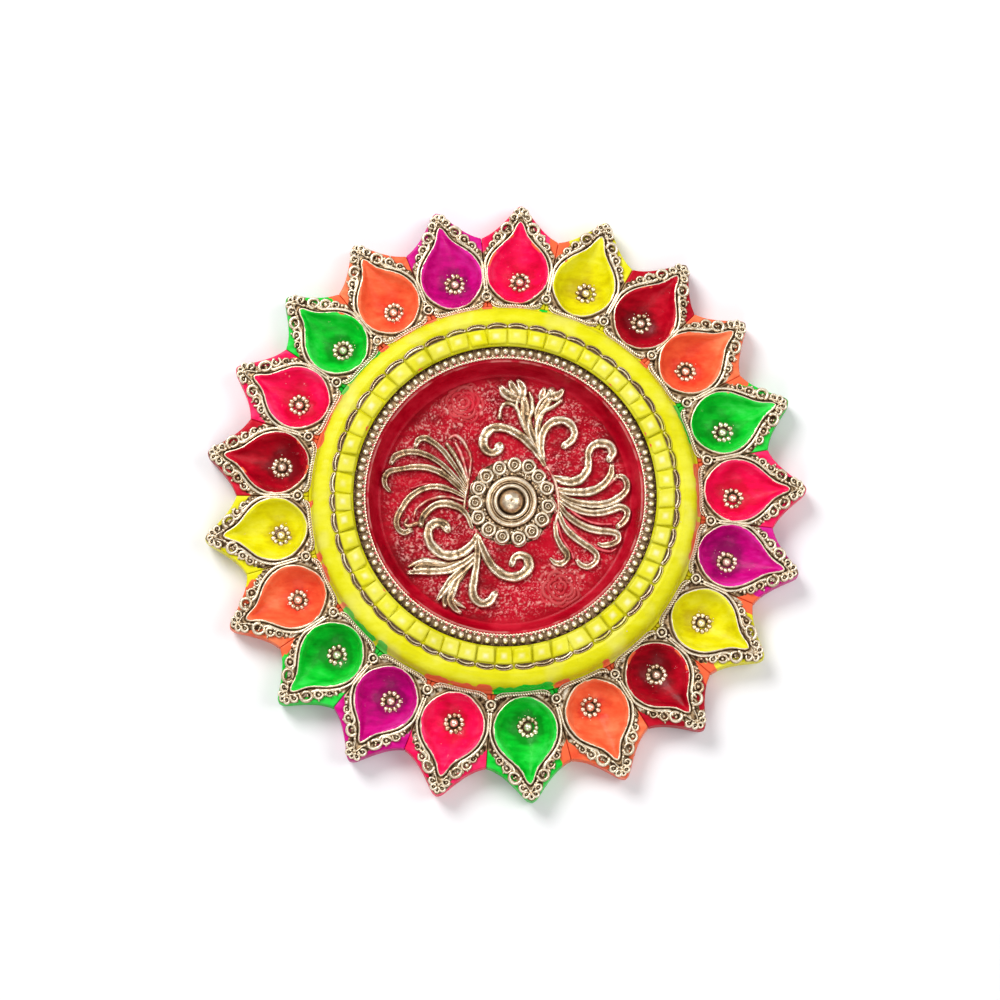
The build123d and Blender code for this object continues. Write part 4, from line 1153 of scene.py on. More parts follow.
def make_floor():
    B = Builder()
    rad = np.concatenate([np.linspace(2, 12, 8), np.arange(12.6, 62.7,
                                                           0.42)])
    nseg = 760
    prof = np.stack([rad, np.full(len(rad), 9.0)], -1)
    P, th = revolved(prof, nseg)
    x, y = P[..., 0], P[..., 1]
    m = 0.25 + 0.75 * stipple_mask(x, y)
    r = np.hypot(x, y)
    m = m * smooth(62.0, 56.0, r + 5 * (fbm(x / 8, y / 8, seed=9) - .5))
    big = fbm(x / 14, y / 14, seed=5) - .5
    st = vnoise(x / 0.95, y / 0.95, seed=11)
    st2 = vnoise(x / 0.7, y / 0.7, seed=12)
    spk = smooth(0.48, 0.78, 0.6 * st + 0.4 * st2)
    patch = smooth(0.2, 0.5, fbm(x / 8, y / 8, seed=13))
    P[..., 2] += 0.18 * big + m * (0.80 * spk * (0.5 + 0.5 * patch)
                                   + 0.12 * st2)
    P[..., 2] = np.minimum(P[..., 2], 9.9)
    # pale specks on the stipple tops: partly dry-brushed paint, partly painted glints
    pale = m * smooth(0.35, 0.85, spk) * \
        smooth(0.30, 0.62, fbm(x / 2.4, y / 2.4, seed=15)) * .7
    # metal paint also covers the ground between the rosettes
    rm = np.hypot(x - MED[0], y - MED[1]) + \
        2.2 * (fbm(x / 1.6, y / 1.6, seed=16) - .5)
    gold = smooth(21.7, 21.2, rm)
    gcav = np.clip(0.42 + 1.5 * (vnoise(x / 0.8, y / 0.8, seed=17) - .5),
                   0, 1) * smooth(21.0, 20.2, rm)
    cav = (0.3 + 0.6 * spk) * (1 - gold) + gcav * gold
    # deep: an even darker red, lightened on the stipple tops as painted highlight
    idx = B.grid(P, close_u=True, flip=True, pale=pale * (1 - gold),
                 gold=gold, stip=m * (1 - gold),
                 cav=cav, deep=0.3 - 0.4 * spk * m)
    B.fan(idx[0], (0, 0, 9.0))
    return B.build("dish_floor", M_RED, ("thali_body",))


make_floor()


def make_wall():
    B = Builder()
    prof = catmull([(61.8, 9.05), (62.9, 9.5), (63.8, 10.6), (64.6, 12.3),
                    (65.4, 14.4), (66.1, 16.8), (66.7, 19.0), (67.0, 20.2)],
                   6)
    tail = [(67.15, 20.5), (67.0, 20.8), (66.85, 21.1), (66.95, 21.5),
            (67.3, 21.7), (67.7, 21.65), (67.9, 21.9), (68.0, 22.5),
            (68.2, 22.75), (68.9, 22.6), (70, 22.45), (71.5, 22.4),
            (73, 22.4), (74.2, 22.5), (74.65, 23.2), (74.7, 24.4)]
    prof = np.vstack([prof, tail])
    P, th = revolved(prof, 620)
    r = np.hypot(P[..., 0], P[..., 1])
    n = fbm(P[..., 0] / 6, P[..., 1] / 6, P[..., 2] / 6, seed=23) - .5
    k = (1 + (0.5 * n) / np.maximum(r, 1) * smooth(9.2, 12, P[..., 2])
         * smooth(22.0, 21.0, P[..., 2]))
    P[..., 0] *= k
    P[..., 1] *= k
    # pale line along the small ridge near the top of the wall: painted highlight
    pale = 0.55 * smooth(0.5, 0.1, np.abs(P[..., 2] - 21.4)) * \
        smooth(0.35, 0.6, fbm(P[..., 0] / 5, P[..., 1] / 5, seed=25))
    gold = smooth(68.3, 69.3, r + 0.9 * (fbm(P[..., 0] / 2, P[..., 1] / 2,
                                             seed=26) - .5))
    # on the ledge under the beads the gold darkens towards the tiles: painted shade
    idx = B.grid(P, close_u=True, flip=True, pale=pale, gold=gold,
                 cav=np.where(gold > 0.4, 0.34 - 0.34 * smooth(
                     72.4, 73.4, r), 0.75), deep=0.0)
    return B.build("dish_wall", M_RED, ("thali_body",))


make_wall()

# clock angle (degrees), half width, reach inwards (mm) of stray paint
SMEARS = {
    "orange": [(46, 2, 1.6), (82.5, 2.6, 3.2), (87, 5, 1.6), (93, 3, 1.0),
               (101, 4.5, 1.8), (106, 3, .9), (148.8, 1.4, 1.6),
               (163, 2.5, .9), (186, 2.8, 2.6), (192, 5, 1.5),
               (199, 2.4, 1.2), (202, 2, .8), (235, 1.8, 2.0),
               (247, 3, 1.2), (252, 1.5, 1.6), (268, 1, 1.2),
               (287, 2.5, 2.8), (293, 5, 1.6), (300, 4, 1.0),
               (321, 2, 2.6), (329, 4, .8), (337, 3, 1.2), (346, 6, .8),
               (355, 1.6, 1.8), (3, 3, .6)],
    "green": [(64, 3, 1.6), (70, 4, .9), (168, 2.2, 2.2), (173, 5, 2.6),
              (180, 4, 1.2), (219, 2, 3.0), (226, 5, 1.4), (233, 2.5, 1.8),
              (304, 1.8, 2.8), (311, 5, .9), (318, 2, 1.6),
              (11.5, 1.2, 2.2)],
}
def smear_mask(x, y, z, kind):
    """Inner radius reached by the stray paint, as a 0..1 mask."""
    ang = np.degrees(np.arctan2(x, y)) % 360
    r = np.hypot(x, y)
    m = np.zeros_like(x)
    wob = fbm(x / 3, y / 3, seed=33) - .5
    wob2 = fbm(x / 4, y / 4, z / 1.6, seed=34) - .5
    for a, w, reach in SMEARS[kind]:
        d = np.abs((ang - a + 180) % 360 - 180)
        k = np.sqrt(np.clip(1 - (d / w) ** 2, 0, 1))
        inner = 95.0 - 0.7 * reach * k - 0.1
        side = smooth(1.0, 0.8, d / w + 0.8 * wob2)
        m = np.maximum(m, smooth(inner - 0.15, inner + 0.55,
                                 r + 1.5 * wob) * side)
    return m


def make_band():
    B = Builder()
    prof = catmull([(85.4, 24.5), (85.9, 24.75), (86.6, 25.1), (87.5, 25.35),
                    (88.4, 25.15), (90.2, 24.75), (92.0, 24.0),
                    (93.4, 22.8), (94.2, 21.3),
                    (94.8, 19.2), (95.2, 17.0), (95.4, 15.4),
                    (96.0, 14.6), (96.95, 14.2)], 4)
    P, th = revolved(prof, 720)
    x, y = P[..., 0].copy(), P[..., 1].copy()
    n = fbm(x / 9, y / 9, P[..., 2] / 9, seed=31) - .5
    n2 = fbm(x / 2.2, y / 2.2, P[..., 2] / 2.2, seed=32) - .5
    amt = smooth(85.6, 87, np.hypot(x, y)) * smooth(96.8, 95.6,
                                                    np.hypot(x, y))
    k = 1 + (0.6 * n * amt) / 90
    P[..., 0] *= k
    P[..., 1] *= k
    P[..., 2] += (0.4 * n + 0.14 * n2) * amt
    P[..., 2] = np.minimum(P[..., 2], 25.7)
    # the yellow darkens towards the band's outer drop: painted shade; the paler
    # patches are random
    B.grid(P, close_u=True, flip=True, b_orange=smear_mask(x, y, P[..., 2], "orange"),
           b_green=smear_mask(x, y, P[..., 2], "green"), gold=0.0, cav=0.9,
           pale=0.22 * smooth(0.5, 0.8, fbm(x / 11, y / 11, seed=35)),
           deep=0.35 * smooth(92.5, 95.0, np.hypot(x, y)))
    # two grog specks
    for ang, rr in ((138.6, 89.3), (99.0, 86.9)):
        a = math.radians(90 - ang)
        dome(B, rr * math.cos(a), rr * math.sin(a), 24.85, 0.42, 0.36, 0.5,
             nr=4, ns=9, gold=1.0)
    return B.build("rim_band_paint", M_BAND, ("rim_band",))


make_band()


TILE_JOINTS = [8.1, 14.6, 21.2, 28.2, 34.4, 41.0, 47.5, 54.1, 60.8, 68.1,
               74.5, 81.2, 87.8, 94.8, 101.4, 108.2, 114.7, 121.5, 128.1,
               135.3, 142.3, 149.3, 156.9, 163.5, 170.3, 177.3, 183.4,
               190.0, 196.4, 202.5, 208.7, 215.2, 222.9, 229.6, 236.2,
               242.6, 250.1, 257.0, 264.0, 270.4, 277.8, 284.6, 291.8,
               300.2, 307.9, 315.5, 323.5, 331.8, 339.7, 346.9, 353.7,
               360.9]
# joints that stay open and dark
DARK_JOINTS = (101.4, 108.2, 114.7, 121.5, 128.1, 135.3, 142.3, 163.5,
               170.3, 190.0, 60.8, 250.1, 257.0, 277.8, 323.5, 331.8, 68.1,
               149.3, 183.4, 284.6, 315.5)


def tile_spans():
    for k in range(52):
        b = TILE_JOINTS[k]
        a = TILE_JOINTS[k - 1] - (360 if k == 0 else 0)
        yield k, a, b


def make_tiles():
    B = Builder()
    g = np.random.default_rng(44)
    # ground between and around the blocks
    prof = [(74.3, 23.4), (74.5, 24.2), (74.9, 24.5), (77, 24.55),
            (80, 24.55), (82.6, 24.55), (83.4, 24.5), (84.4, 24.45),
            (85.4, 24.5), (86.3, 24.5)]
    P, th = revolved(prof, 620)
    ang = (90 - np.degrees(th)) % 360
    gap = np.min(np.abs((ang[:, None] - np.array(DARK_JOINTS)[None, :]
                         + 180) % 360 - 180), axis=1)
    jd = np.min(np.abs((ang[:, None] - np.array(TILE_JOINTS)[None, :]
                        + 180) % 360 - 180), axis=1)
    r = np.hypot(P[..., 0], P[..., 1])
    cav = np.where(gap < 1.2, 0.14, 0.5)[None, :] * np.ones_like(r)
    arch = smooth(82.9, 83.5, r) * smooth(86.3, 85.4, r) * \
        smooth(0.45, 1.1, jd)[None, :]
    # ground under the arches: darker gold, antique wash and painted shade
    cav = np.where(r > 82.9, 0.2, cav)
    B.grid(P, close_u=True, flip=True, cav=cav, gold=arch * .95, pale=0.0)
    n = 19
    for k, a0, a1 in tile_spans():
        am = (a0 + a1) / 2
        half = math.radians((a1 - a0) / 2)
        r0, r1 = 74.95 + g.normal(0, 0.14), 83.1 + g.normal(0, 0.18)
        hh = 1.75 + g.normal(0, 0.12)
        s = np.linspace(-1, 1, n)
        A, R = np.meshgrid(s, s)
        corner = (np.abs(A) ** 10 + np.abs(R) ** 8)
        edge = np.clip(1 - corner, 0, 1) ** 0.5
        ax, rx = g.normal(0, 0.08), g.normal(0.05, 0.08)
        dd = np.maximum(np.abs(A - ax), np.abs(R - rx))
        pyr = np.clip(1 - dd / 0.85, 0, 1)
        bump = np.exp(-((A - ax) ** 2 + (R - rx) ** 2) / 0.045)
        z = 24.5 + hh * (0.86 * edge + 0.10 * pyr + 0.12 * bump)
        open_a = 0.32 if any(abs(a0 % 360 - q) < .1 for q in DARK_JOINTS) \
            else 0.11
        open_b = 0.32 if any(abs(a1 % 360 - q) < .1 for q in DARK_JOINTS) \
            else 0.11
        tilt = g.normal(0, 0.012)
        rr = (r0 + r1) / 2 + R * (r1 - r0) / 2
        w = np.where(A < 0, half - open_b / rr, half - open_a / rr)
        an = np.radians(90 - am) + A * w + tilt * R * 0.35
        rr = (r0 + r1) / 2 + (rr - (r0 + r1) / 2) * (1 - 0.03 * A ** 4)
        x, y = rr * np.cos(an), rr * np.sin(an)
        z = z + 0.2 * (vnoise(x / 1.5, y / 1.5, seed=52) - .5) * edge
        z[0, :] = z[-1, :] = 24.3
        z[:, 0] = z[:, -1] = 24.3
        z = np.minimum(z, 26.85)
        # painted shade where each block's edge rolls down to the ground
        cav = np.clip(edge * 1.1 + 0.15, 0, 1)
        bl = 0.0
        ca = am % 360
        for q in (43.5, 66.3, 71.0, 296, 325.5, 231):
            if a0 % 360 <= q <= (a1 % 360 if a1 % 360 > a0 % 360
                                 else a1 % 360 + 360):
                bl = 1.0
                off = (q - ca) / (a1 - a0) * -2
                blm = smooth(1.0, 0.2, np.abs(A - off) / 0.5
                             + (R + 1) / 0.35)
        bleed = bl * blm if bl else np.zeros_like(A)
        # painted highlight: a pale spot on each block's central bump, plus a little
        # random paleness
        highlight_amount = 0.25 + 0.75 * g.random()
        pale = highlight_amount * (0.85 * bump + 0.55 * smooth(0.5, 0.15, dd)) + \
            0.16 * g.random() * edge
        B.grid(np.stack([x, y, z], -1), flip=True, cav=cav, gold=0.0,
               b_orange=bleed, pale=np.clip(pale, 0, 1))
    return B.build("tile_ring", M_TILE, ("tile_band",))


make_tiles()


def make_arches():
    B = Builder()
    g = np.random.default_rng(45)
    for k, a0, a1 in tile_spans():
        am = (a0 + a1) / 2 + g.normal(0, 0.15)
        half = math.radians((a1 - a0) / 2)
        share = float(np.clip(g.normal(0.9, 0.25), 0.35, 1.0))
        if 58 < am % 360 < 78 or 134 < am % 360 < 150:
            share = 0.5
        tn = float(np.clip(g.normal(0.78, 0.1), .5, 1))
        t = np.linspace(-1, 1, 13)
        d = np.radians(90 - am) + t * half * 0.86
        lift = 0.15 * g.normal()
        r = 84.75 + 1.05 * (1 - np.abs(t) ** 2.4) + lift * t
        path = np.stack([r * np.cos(d), r * np.sin(d)], -1)
        wv = 0.38 * (1 + 0.4 * (vnoise(t * 3 + k * 7, 0.0, seed=8) - .5))
        ridge(B, path, wv, 0.95 + g.normal(0, 0.08), 24.4,
              gold=share * .9, tone=.62 * tn + .1)
        d = np.radians(90 - am) + t * half * 0.78
        r = 83.75 + 0.85 * (1 - np.abs(t) ** 2.4) + lift * t
        path = np.stack([r * np.cos(d), r * np.sin(d)], -1)
        wv = 0.58 * (1 + 0.4 * (vnoise(t * 3 + k * 5, 1.0, seed=9) - .5))
        ridge(B, path, wv, 1.35 + g.normal(0, 0.08), 24.35, gold=share,
              tone=tn)
        for s in (-1, 1):
            e = math.radians(90 - am) + s * half * 0.86
            dome(B, 84.0 * math.cos(e), 84.0 * math.sin(e), 24.35, 0.8,
                 0.66, 1.2, rot=e, nr=4, ns=10, gold=share, tone=.75)
    return B.build("arch_links", M_ARCH, ("tile_arch_trim",))


make_arches()


def make_beads():
    B = Builder()
    g = np.random.default_rng(46)
    n = 104
    for k in range(n):
        t = 2 * math.pi * (k + g.normal(0, 0.05)) / n
        rr = 71.6 + g.normal(0, 0.1)
        x, y = rr * math.cos(t), rr * math.sin(t)
        # oval bead, a little flattened on top
        dome(B, x, y, 22.4, 1.85 + g.normal(0, .05), 1.62 + g.normal(0, .05),
             2.1 + g.normal(0, .1), rot=t + g.normal(0, .12), nr=7, ns=18,
             gold=1, lo=.16)
        # small clay pips on both sides where two beads meet; the outer ones are
        # darker, painted shade under the tile edge
        t2 = t + math.pi / n
        for q, rb, hh, gg, tn in ((73.75, 0.5, 1.0, 1, .45),
                                  (69.75, 0.8, 1.2, .7, .9)):
            dome(B, q * math.cos(t2), q * math.sin(t2), 22.4, rb, rb * .95,
                 hh, rot=t2, nr=4, ns=10, gold=gg, tone=tn)
        dome(B, 69.4 * math.cos(t), 69.4 * math.sin(t), 22.4, .6, .8, 0.9,
             rot=t, nr=4, ns=10, gold=.3)
    return B.build("bead_chain", M_SPRAY, ("bead_string",))


make_beads()


def circle_path(r, n):
    t = np.linspace(0, 2 * math.pi, n + 1)
    return np.stack([r * np.cos(t), r * np.sin(t)], -1)


B = Builder()
rope(B, circle_path(68.75, 900), 0.5, 22.55, 3.2, strands=2, closed=True,
     gold=0.6)
B.build("inner_cord_relief", M_SPRAY, ("inner_rope",))


def make_base_rope():
    """Twisted cord: one arc under each cup, turning up at the joints."""
    B = Builder()
    for i in range(21):
        hp, hm = neighbours(i)
        e = np.linspace(-(hp - 1.2), hm - 1.2, 54)
        h = np.where(e < 0, hp - 1.2, hm - 1.2)
        f = np.abs(e) / h
        r = 97.15 + 2.7 * f ** 5
        a = np.radians(90 - (CUPS[i] + e))
        path = np.stack([r * np.cos(a), r * np.sin(a)], -1)[::-1]
        rope(B, path, 0.92, 13.75 - 0.3 * f ** 3, 2.5, strands=2)
        r = 96.15 + 2.5 * f ** 8
        path = np.stack([r * np.cos(a), r * np.sin(a)], -1)[::-1]
        ridge(B, path, 0.45, 0.9, 14.1 - 0.9 * f ** 8, ends=False, tone=.8)
    return B.build("base_cord_relief", M_GOLD, ("base_rope",))


make_base_rope()
# ---------------------------------------------------------------------------
# medallion
# ---------------------------------------------------------------------------
ROSETTES = [(-2.8, 15.3), (4.7, 17.0), (11.7, 16.0), (16.7, 11.0),
            (20.7, 5.3), (21.3, -3.7), (18.2, -10.3), (13.3, -16.3),
            (6.7, -19.7), (-1.3, -18.7), (-8.0, -15.3), (-13.3, -9.3),
            (-14.7, -2.0), (-13.0, 5.3), (-9.2, 11.3)]


def make_medallion():
    B = Builder()
    prof = catmull([(6.2, 11.3), (6.6, 11.4), (7.2, 12.5), (7.9, 13.0),
                    (8.6, 12.5), (9.15, 11.4), (9.7, 12.1), (10.2, 11.6),
                    (10.8, 12.3), (11.6, 12.95), (12.4, 12.4), (13.0, 11.0),
                    (13.5, 10.2), (14.6, 10.1), (15.8, 10.0), (16.8, 9.7),
                    (17.6, 8.8)],
                   5)
    P, th = revolved(prof, 200)
    rad = np.hypot(P[..., 0], P[..., 1])
    n = fbm(P[..., 0] / 2.4, P[..., 1] / 2.4, seed=70) - .5
    n2 = fbm(P[..., 0] / 1.0, P[..., 1] / 1.0, seed=71) - .5
    out = smooth(13.0, 13.8, rad)
    P[..., 2] += 0.22 * n + out * (1.5 * n2 + 0.4 * n)
    z = P[..., 2]
    # raised rings lighter, low ground darker: painted highlight and painted shade;
    # the rough outer zone is random
    cav = (0.12 + 0.88 * smooth(11.2, 12.7, z)) * (1 - out) + \
        out * (0.34 + 1.3 * n2)
    P[..., 0] += MED[0]
    P[..., 1] += MED[1]
    idx = B.grid(P, close_u=True, flip=True, cav=np.clip(cav, 0, 1))
    B.fan(idx[0], (MED[0], MED[1], 11.3), cav=0.0)
    g = np.random.default_rng(72)
    for k in range(90):
        t = g.random() * 2 * math.pi
        rr = g.uniform(13.5, 16.4)
        s = g.uniform(0.4, 0.8)
        dome(B, MED[0] + rr * math.cos(t), MED[1] + rr * math.sin(t), 9.8,
             s, s, 1.0, nr=4, ns=9, lo=.3)
    return B.build("medallion_rings", M_GOLD,
                   ("medallion_disc",))


make_medallion()


def make_boss():
    B = Builder()
    a = np.linspace(0, math.pi / 2, 20)
    r = 5.95 * np.cos(a)
    z = 11.2 + 4.6 * np.sin(a)
    r, z = r[:-1], z[:-1]
    dim = np.exp(-(r / 0.6) ** 2) * 0.6
    P, th = revolved(np.stack([r, z - dim], -1), 72)
    n = fbm(P[..., 0] / 2.5, P[..., 1] / 2.5, seed=73) - .5
    P[..., 2] += 0.08 * n
    P[..., 0] += MED[0]
    P[..., 1] += MED[1]
    # darker round the foot and in the dimple, lighter towards the top: painted shade
    # and painted highlight
    cav = np.broadcast_to((0.15 + 0.65 * np.sin(a[:-1]) ** 0.8)[:, None]
                          * (1 - 1.3 * dim[:, None]), P.shape[:2])
    idx = B.grid(P, close_u=True, flip=False, cav=np.clip(cav, 0, 1))
    B.fan(idx[-1], (MED[0], MED[1], 15.2), cav=0.05)
    return B.build("boss_dome", M_GOLD, ("centre_boss",))


make_boss()


def make_rosettes():
    B = Builder()
    g = np.random.default_rng(75)
    for k, (x, y) in enumerate(ROSETTES):
        # dark ground pad
        dome(B, x, y, 9.0, 4.1, 4.1, 1.35, nr=5, ns=26, lo=0.5, tone=.42)
        ring(B, x, y, 9.6, 3.0 + g.normal(0, .08), 0.92, 2.3, ns=32,
             jag=0.18, seed=k)
        # curl in the eye
        t = np.linspace(0, 1.75 * math.pi, 22)
        ph = t + g.random() * 6.28
        rad = np.linspace(1.45, 1.1, 22)
        sp = np.stack([x + rad * np.cos(ph), y + rad * np.sin(ph)], -1)
        ridge(B, sp, 0.42, 1.6, 9.9, prof="round", skirt=0.8, tone=.95)
        dome(B, x + .2 * math.cos(ph[-1]), y + .2 * math.sin(ph[-1]), 9.9,
             .5, .45, 1.6, nr=4, ns=10, tone=.9)
        # crescent outside
        t0 = math.atan2(y - MED[1], x - MED[0]) + g.normal(0, .5)
        t = np.linspace(t0 - 0.8, t0 + 0.8, 12)
        rr = 4.05
        cr = np.stack([x + rr * np.cos(t), y + rr * np.sin(t)], -1)
        if g.random() < 0.6:
            ridge(B, cr, 0.4, 1.3, 9.1, prof="round", skirt=0.4)
    return B.build("rosette_beads", M_GOLD,
                   ("rosette_ring",))


make_rosettes()


# ---------------------------------------------------------------------------
# scroll sprays on the dish floor (x, y, half width)
# ---------------------------------------------------------------------------
SPRAY_TOP = [
    [(19.3, 17.6, 0.9), (17.0, 21.5, 1.3), (13.6, 25.8, 1.6), (9.8, 29.8, 1.8),
     (5.5, 33.0, 1.8), (1.0, 35.2, 1.8), (-4.0, 36.0, 1.9), (-8.0, 34.6, 2.0),
     (-10.4, 31.2, 2.0), (-10.8, 27.4, 1.9), (-9.0, 24.3, 1.7),
     (-6.0, 23.3, 1.5), (-3.6, 24.3, 1.7), (-2.9, 25.9, 2.0)],
    [(18.9, 18.2, 0.9), (18.4, 22.5, 1.3), (17.9, 27.0, 1.5),
     (18.4, 31.5, 1.6), (20.4, 35.6, 1.7), (24.0, 38.8, 1.8),
     (28.4, 39.6, 1.8), (32.4, 37.8, 1.8), (34.4, 34.2, 1.7),
     (33.9, 30.6, 1.6), (31.8, 28.2, 1.6), (29.8, 26.9, 1.7)],
    [(18.2, 19.5, 0.8), (15.2, 25.5, 1.0), (12.6, 30.5, 1.0),
     (10.0, 35.0, 1.1), (8.1, 39.6, 1.1), (6.8, 43.8, 1.0), (5.7, 47.2, 0.9),
     (6.6, 50.4, 1.2)],
    [(7.6, 49.6, 1.0), (3.6, 51.3, 2.0), (0.0, 53.4, 2.2), (-1.9, 56.0, 1.2)],
    [(7.2, 50.0, 0.9), (5.4, 54.0, 1.7), (3.6, 57.0, 1.6), (2.6, 59.0, 0.9)],
    [(7.8, 49.8, 0.9), (8.9, 53.8, 1.8), (8.2, 57.2, 1.7), (6.6, 59.6, 0.9)],
    [(7.0, 43.4, 0.8), (4.4, 47.2, 1.0), (1.4, 48.4, 1.1), (-1.0, 47.4, 1.1),
     (-2.2, 45.0, 0.9), (-2.6, 42.9, 0.9), (-2.7, 41.3, 1.2)],
    [(16.4, 23.5, 0.7), (13.4, 29.5, 0.8), (11.7, 35.6, 0.9),
     (12.2, 40.6, 1.1), (13.7, 45.3, 1.2), (13.4, 50.0, 1.1),
     (12.4, 53.6, 0.8)],
    [(17.6, 22.0, 0.8), (15.8, 29.0, 1.0), (15.6, 35.4, 1.1),
     (16.8, 40.6, 1.2), (19.6, 44.4, 1.2), (24.0, 46.6, 1.1),
     (28.2, 49.6, 0.9)],
    [(15.8, 36.0, 0.8), (15.2, 43.6, 0.8), (16.6, 47.4, 0.9),
     (18.6, 50.2, 0.9), (20.8, 51.6, 1.1), (23.2, 54.4, 2.0)],
    [(20.6, 51.0, 0.9), (24.6, 51.6, 1.9), (27.4, 53.0, 1.7),
     (28.6, 55.0, 0.9)],
    [(18.2, 49.4, 0.8), (18.3, 52.0, 1.4), (19.4, 55.4, 0.9)],
    [(17.2, 22.6, 0.7), (14.6, 29.0, 1.3), (11.9, 35.4, 1.9),
     (10.3, 41.2, 2.1), (10.0, 46.4, 1.9), (9.6, 50.6, 1.3)],
    [(16.6, 29.4, 0.9), (16.2, 36.0, 1.4), (17.5, 42.2, 1.7),
     (19.9, 46.8, 1.7), (22.2, 50.2, 1.4)],
]
SPRAY_RIGHT = [
    [(20.8, 16.2, 0.6), (22.9, 12.6, 0.7), (24.9, 8.6, 0.8), (25.9, 4.2, 0.8),
     (26.5, -1.0, 0.8), (26.4, -6.0, 0.8), (24.8, -12.6, 0.8)],
    [(24.4, 10.8, 1.2), (28.6, 9.3, 1.7), (33.6, 8.6, 1.9), (38.0, 10.6, 1.9),
     (40.8, 14.4, 1.7), (41.4, 19.0, 1.5), (41.4, 22.8, 1.5),
     (43.6, 26.4, 1.7), (47.8, 28.0, 1.9), (51.8, 26.8, 1.9),
     (53.6, 23.4, 1.8), (52.0, 20.3, 1.6)],
    [(25.9, 5.0, 1.0), (29.0, 3.9, 1.4), (34.0, 3.4, 1.7), (40.0, 3.4, 1.8),
     (45.4, 4.8, 1.8), (49.8, 8.0, 1.7), (52.4, 12.0, 1.5), (53.0, 16.6, 1.0)],
    [(45.6, 4.0, 1.0), (50.2, 6.6, 1.1), (54.6, 10.2, 0.9)],
    [(26.1, 2.8, 0.9), (29.6, 0.6, 1.1), (34.0, -1.4, 1.3), (40.6, -2.6, 1.5),
     (46.8, -2.8, 1.6), (51.8, -1.8, 1.6), (56.6, 0.6, 1.6), (60.0, 4.0, 1.5),
     (60.4, 8.0, 1.4), (58.4, 11.0, 1.2), (55.4, 11.4, 0.8)],
    [(26.4, 0.2, 0.9), (30.6, -2.8, 1.2), (35.4, -5.2, 1.4),
     (41.0, -6.9, 1.5), (47.0, -7.0, 1.5), (52.4, -5.8, 1.5),
     (57.2, -4.2, 1.6), (60.2, -5.6, 1.5), (60.4, -8.8, 1.5),
     (58.4, -12.0, 1.5), (56.2, -13.6, 1.2)],
    [(26.6, -2.4, 0.9), (30.4, -7.8, 1.2), (35.4, -11.8, 1.5),
     (41.0, -14.6, 1.6), (46.8, -16.0, 1.6), (52.2, -16.4, 1.5),
     (55.6, -17.8, 1.4), (55.9, -20.6, 1.4), (53.0, -22.6, 1.4),
     (48.6, -23.2, 1.1), (46.4, -22.6, 0.8)],
    [(28.6, -2.6, 0.6), (36.0, -8.4, 0.7), (41.0, -11.0, 0.7),
     (46.0, -12.4, 0.7), (52.4, -12.6, 0.6)],
    [(26.4, -6.0, 0.9), (29.0, -13.0, 1.2), (33.0, -18.0, 1.5),
     (38.0, -21.8, 1.5), (42.6, -25.0, 1.4), (45.2, -28.0, 1.3),
     (44.6, -31.6, 1.3), (41.0, -33.8, 1.3), (37.4, -32.8, 1.1),
     (35.6, -30.8, 0.8)],
    [(27.2, -7.4, 0.6), (32.0, -13.8, 0.8), (38.0, -19.4, 0.8),
     (43.6, -23.6, 0.8), (48.0, -25.6, 0.8), (52.0, -26.2, 0.7),
     (54.6, -25.0, 0.5)],
    [(25.0, -11.8, 0.9), (25.2, -18.0, 1.2), (27.4, -22.8, 1.4),
     (30.2, -26.8, 1.4), (30.6, -30.0, 1.3), (28.0, -32.2, 1.3),
     (24.8, -31.8, 1.2), (22.6, -30.0, 0.7)],
    [(25.6, -10.4, 0.6), (27.6, -18.2, 0.7), (30.0, -22.6, 0.7),
     (32.8, -26.6, 0.7), (33.8, -29.4, 0.6)],
]
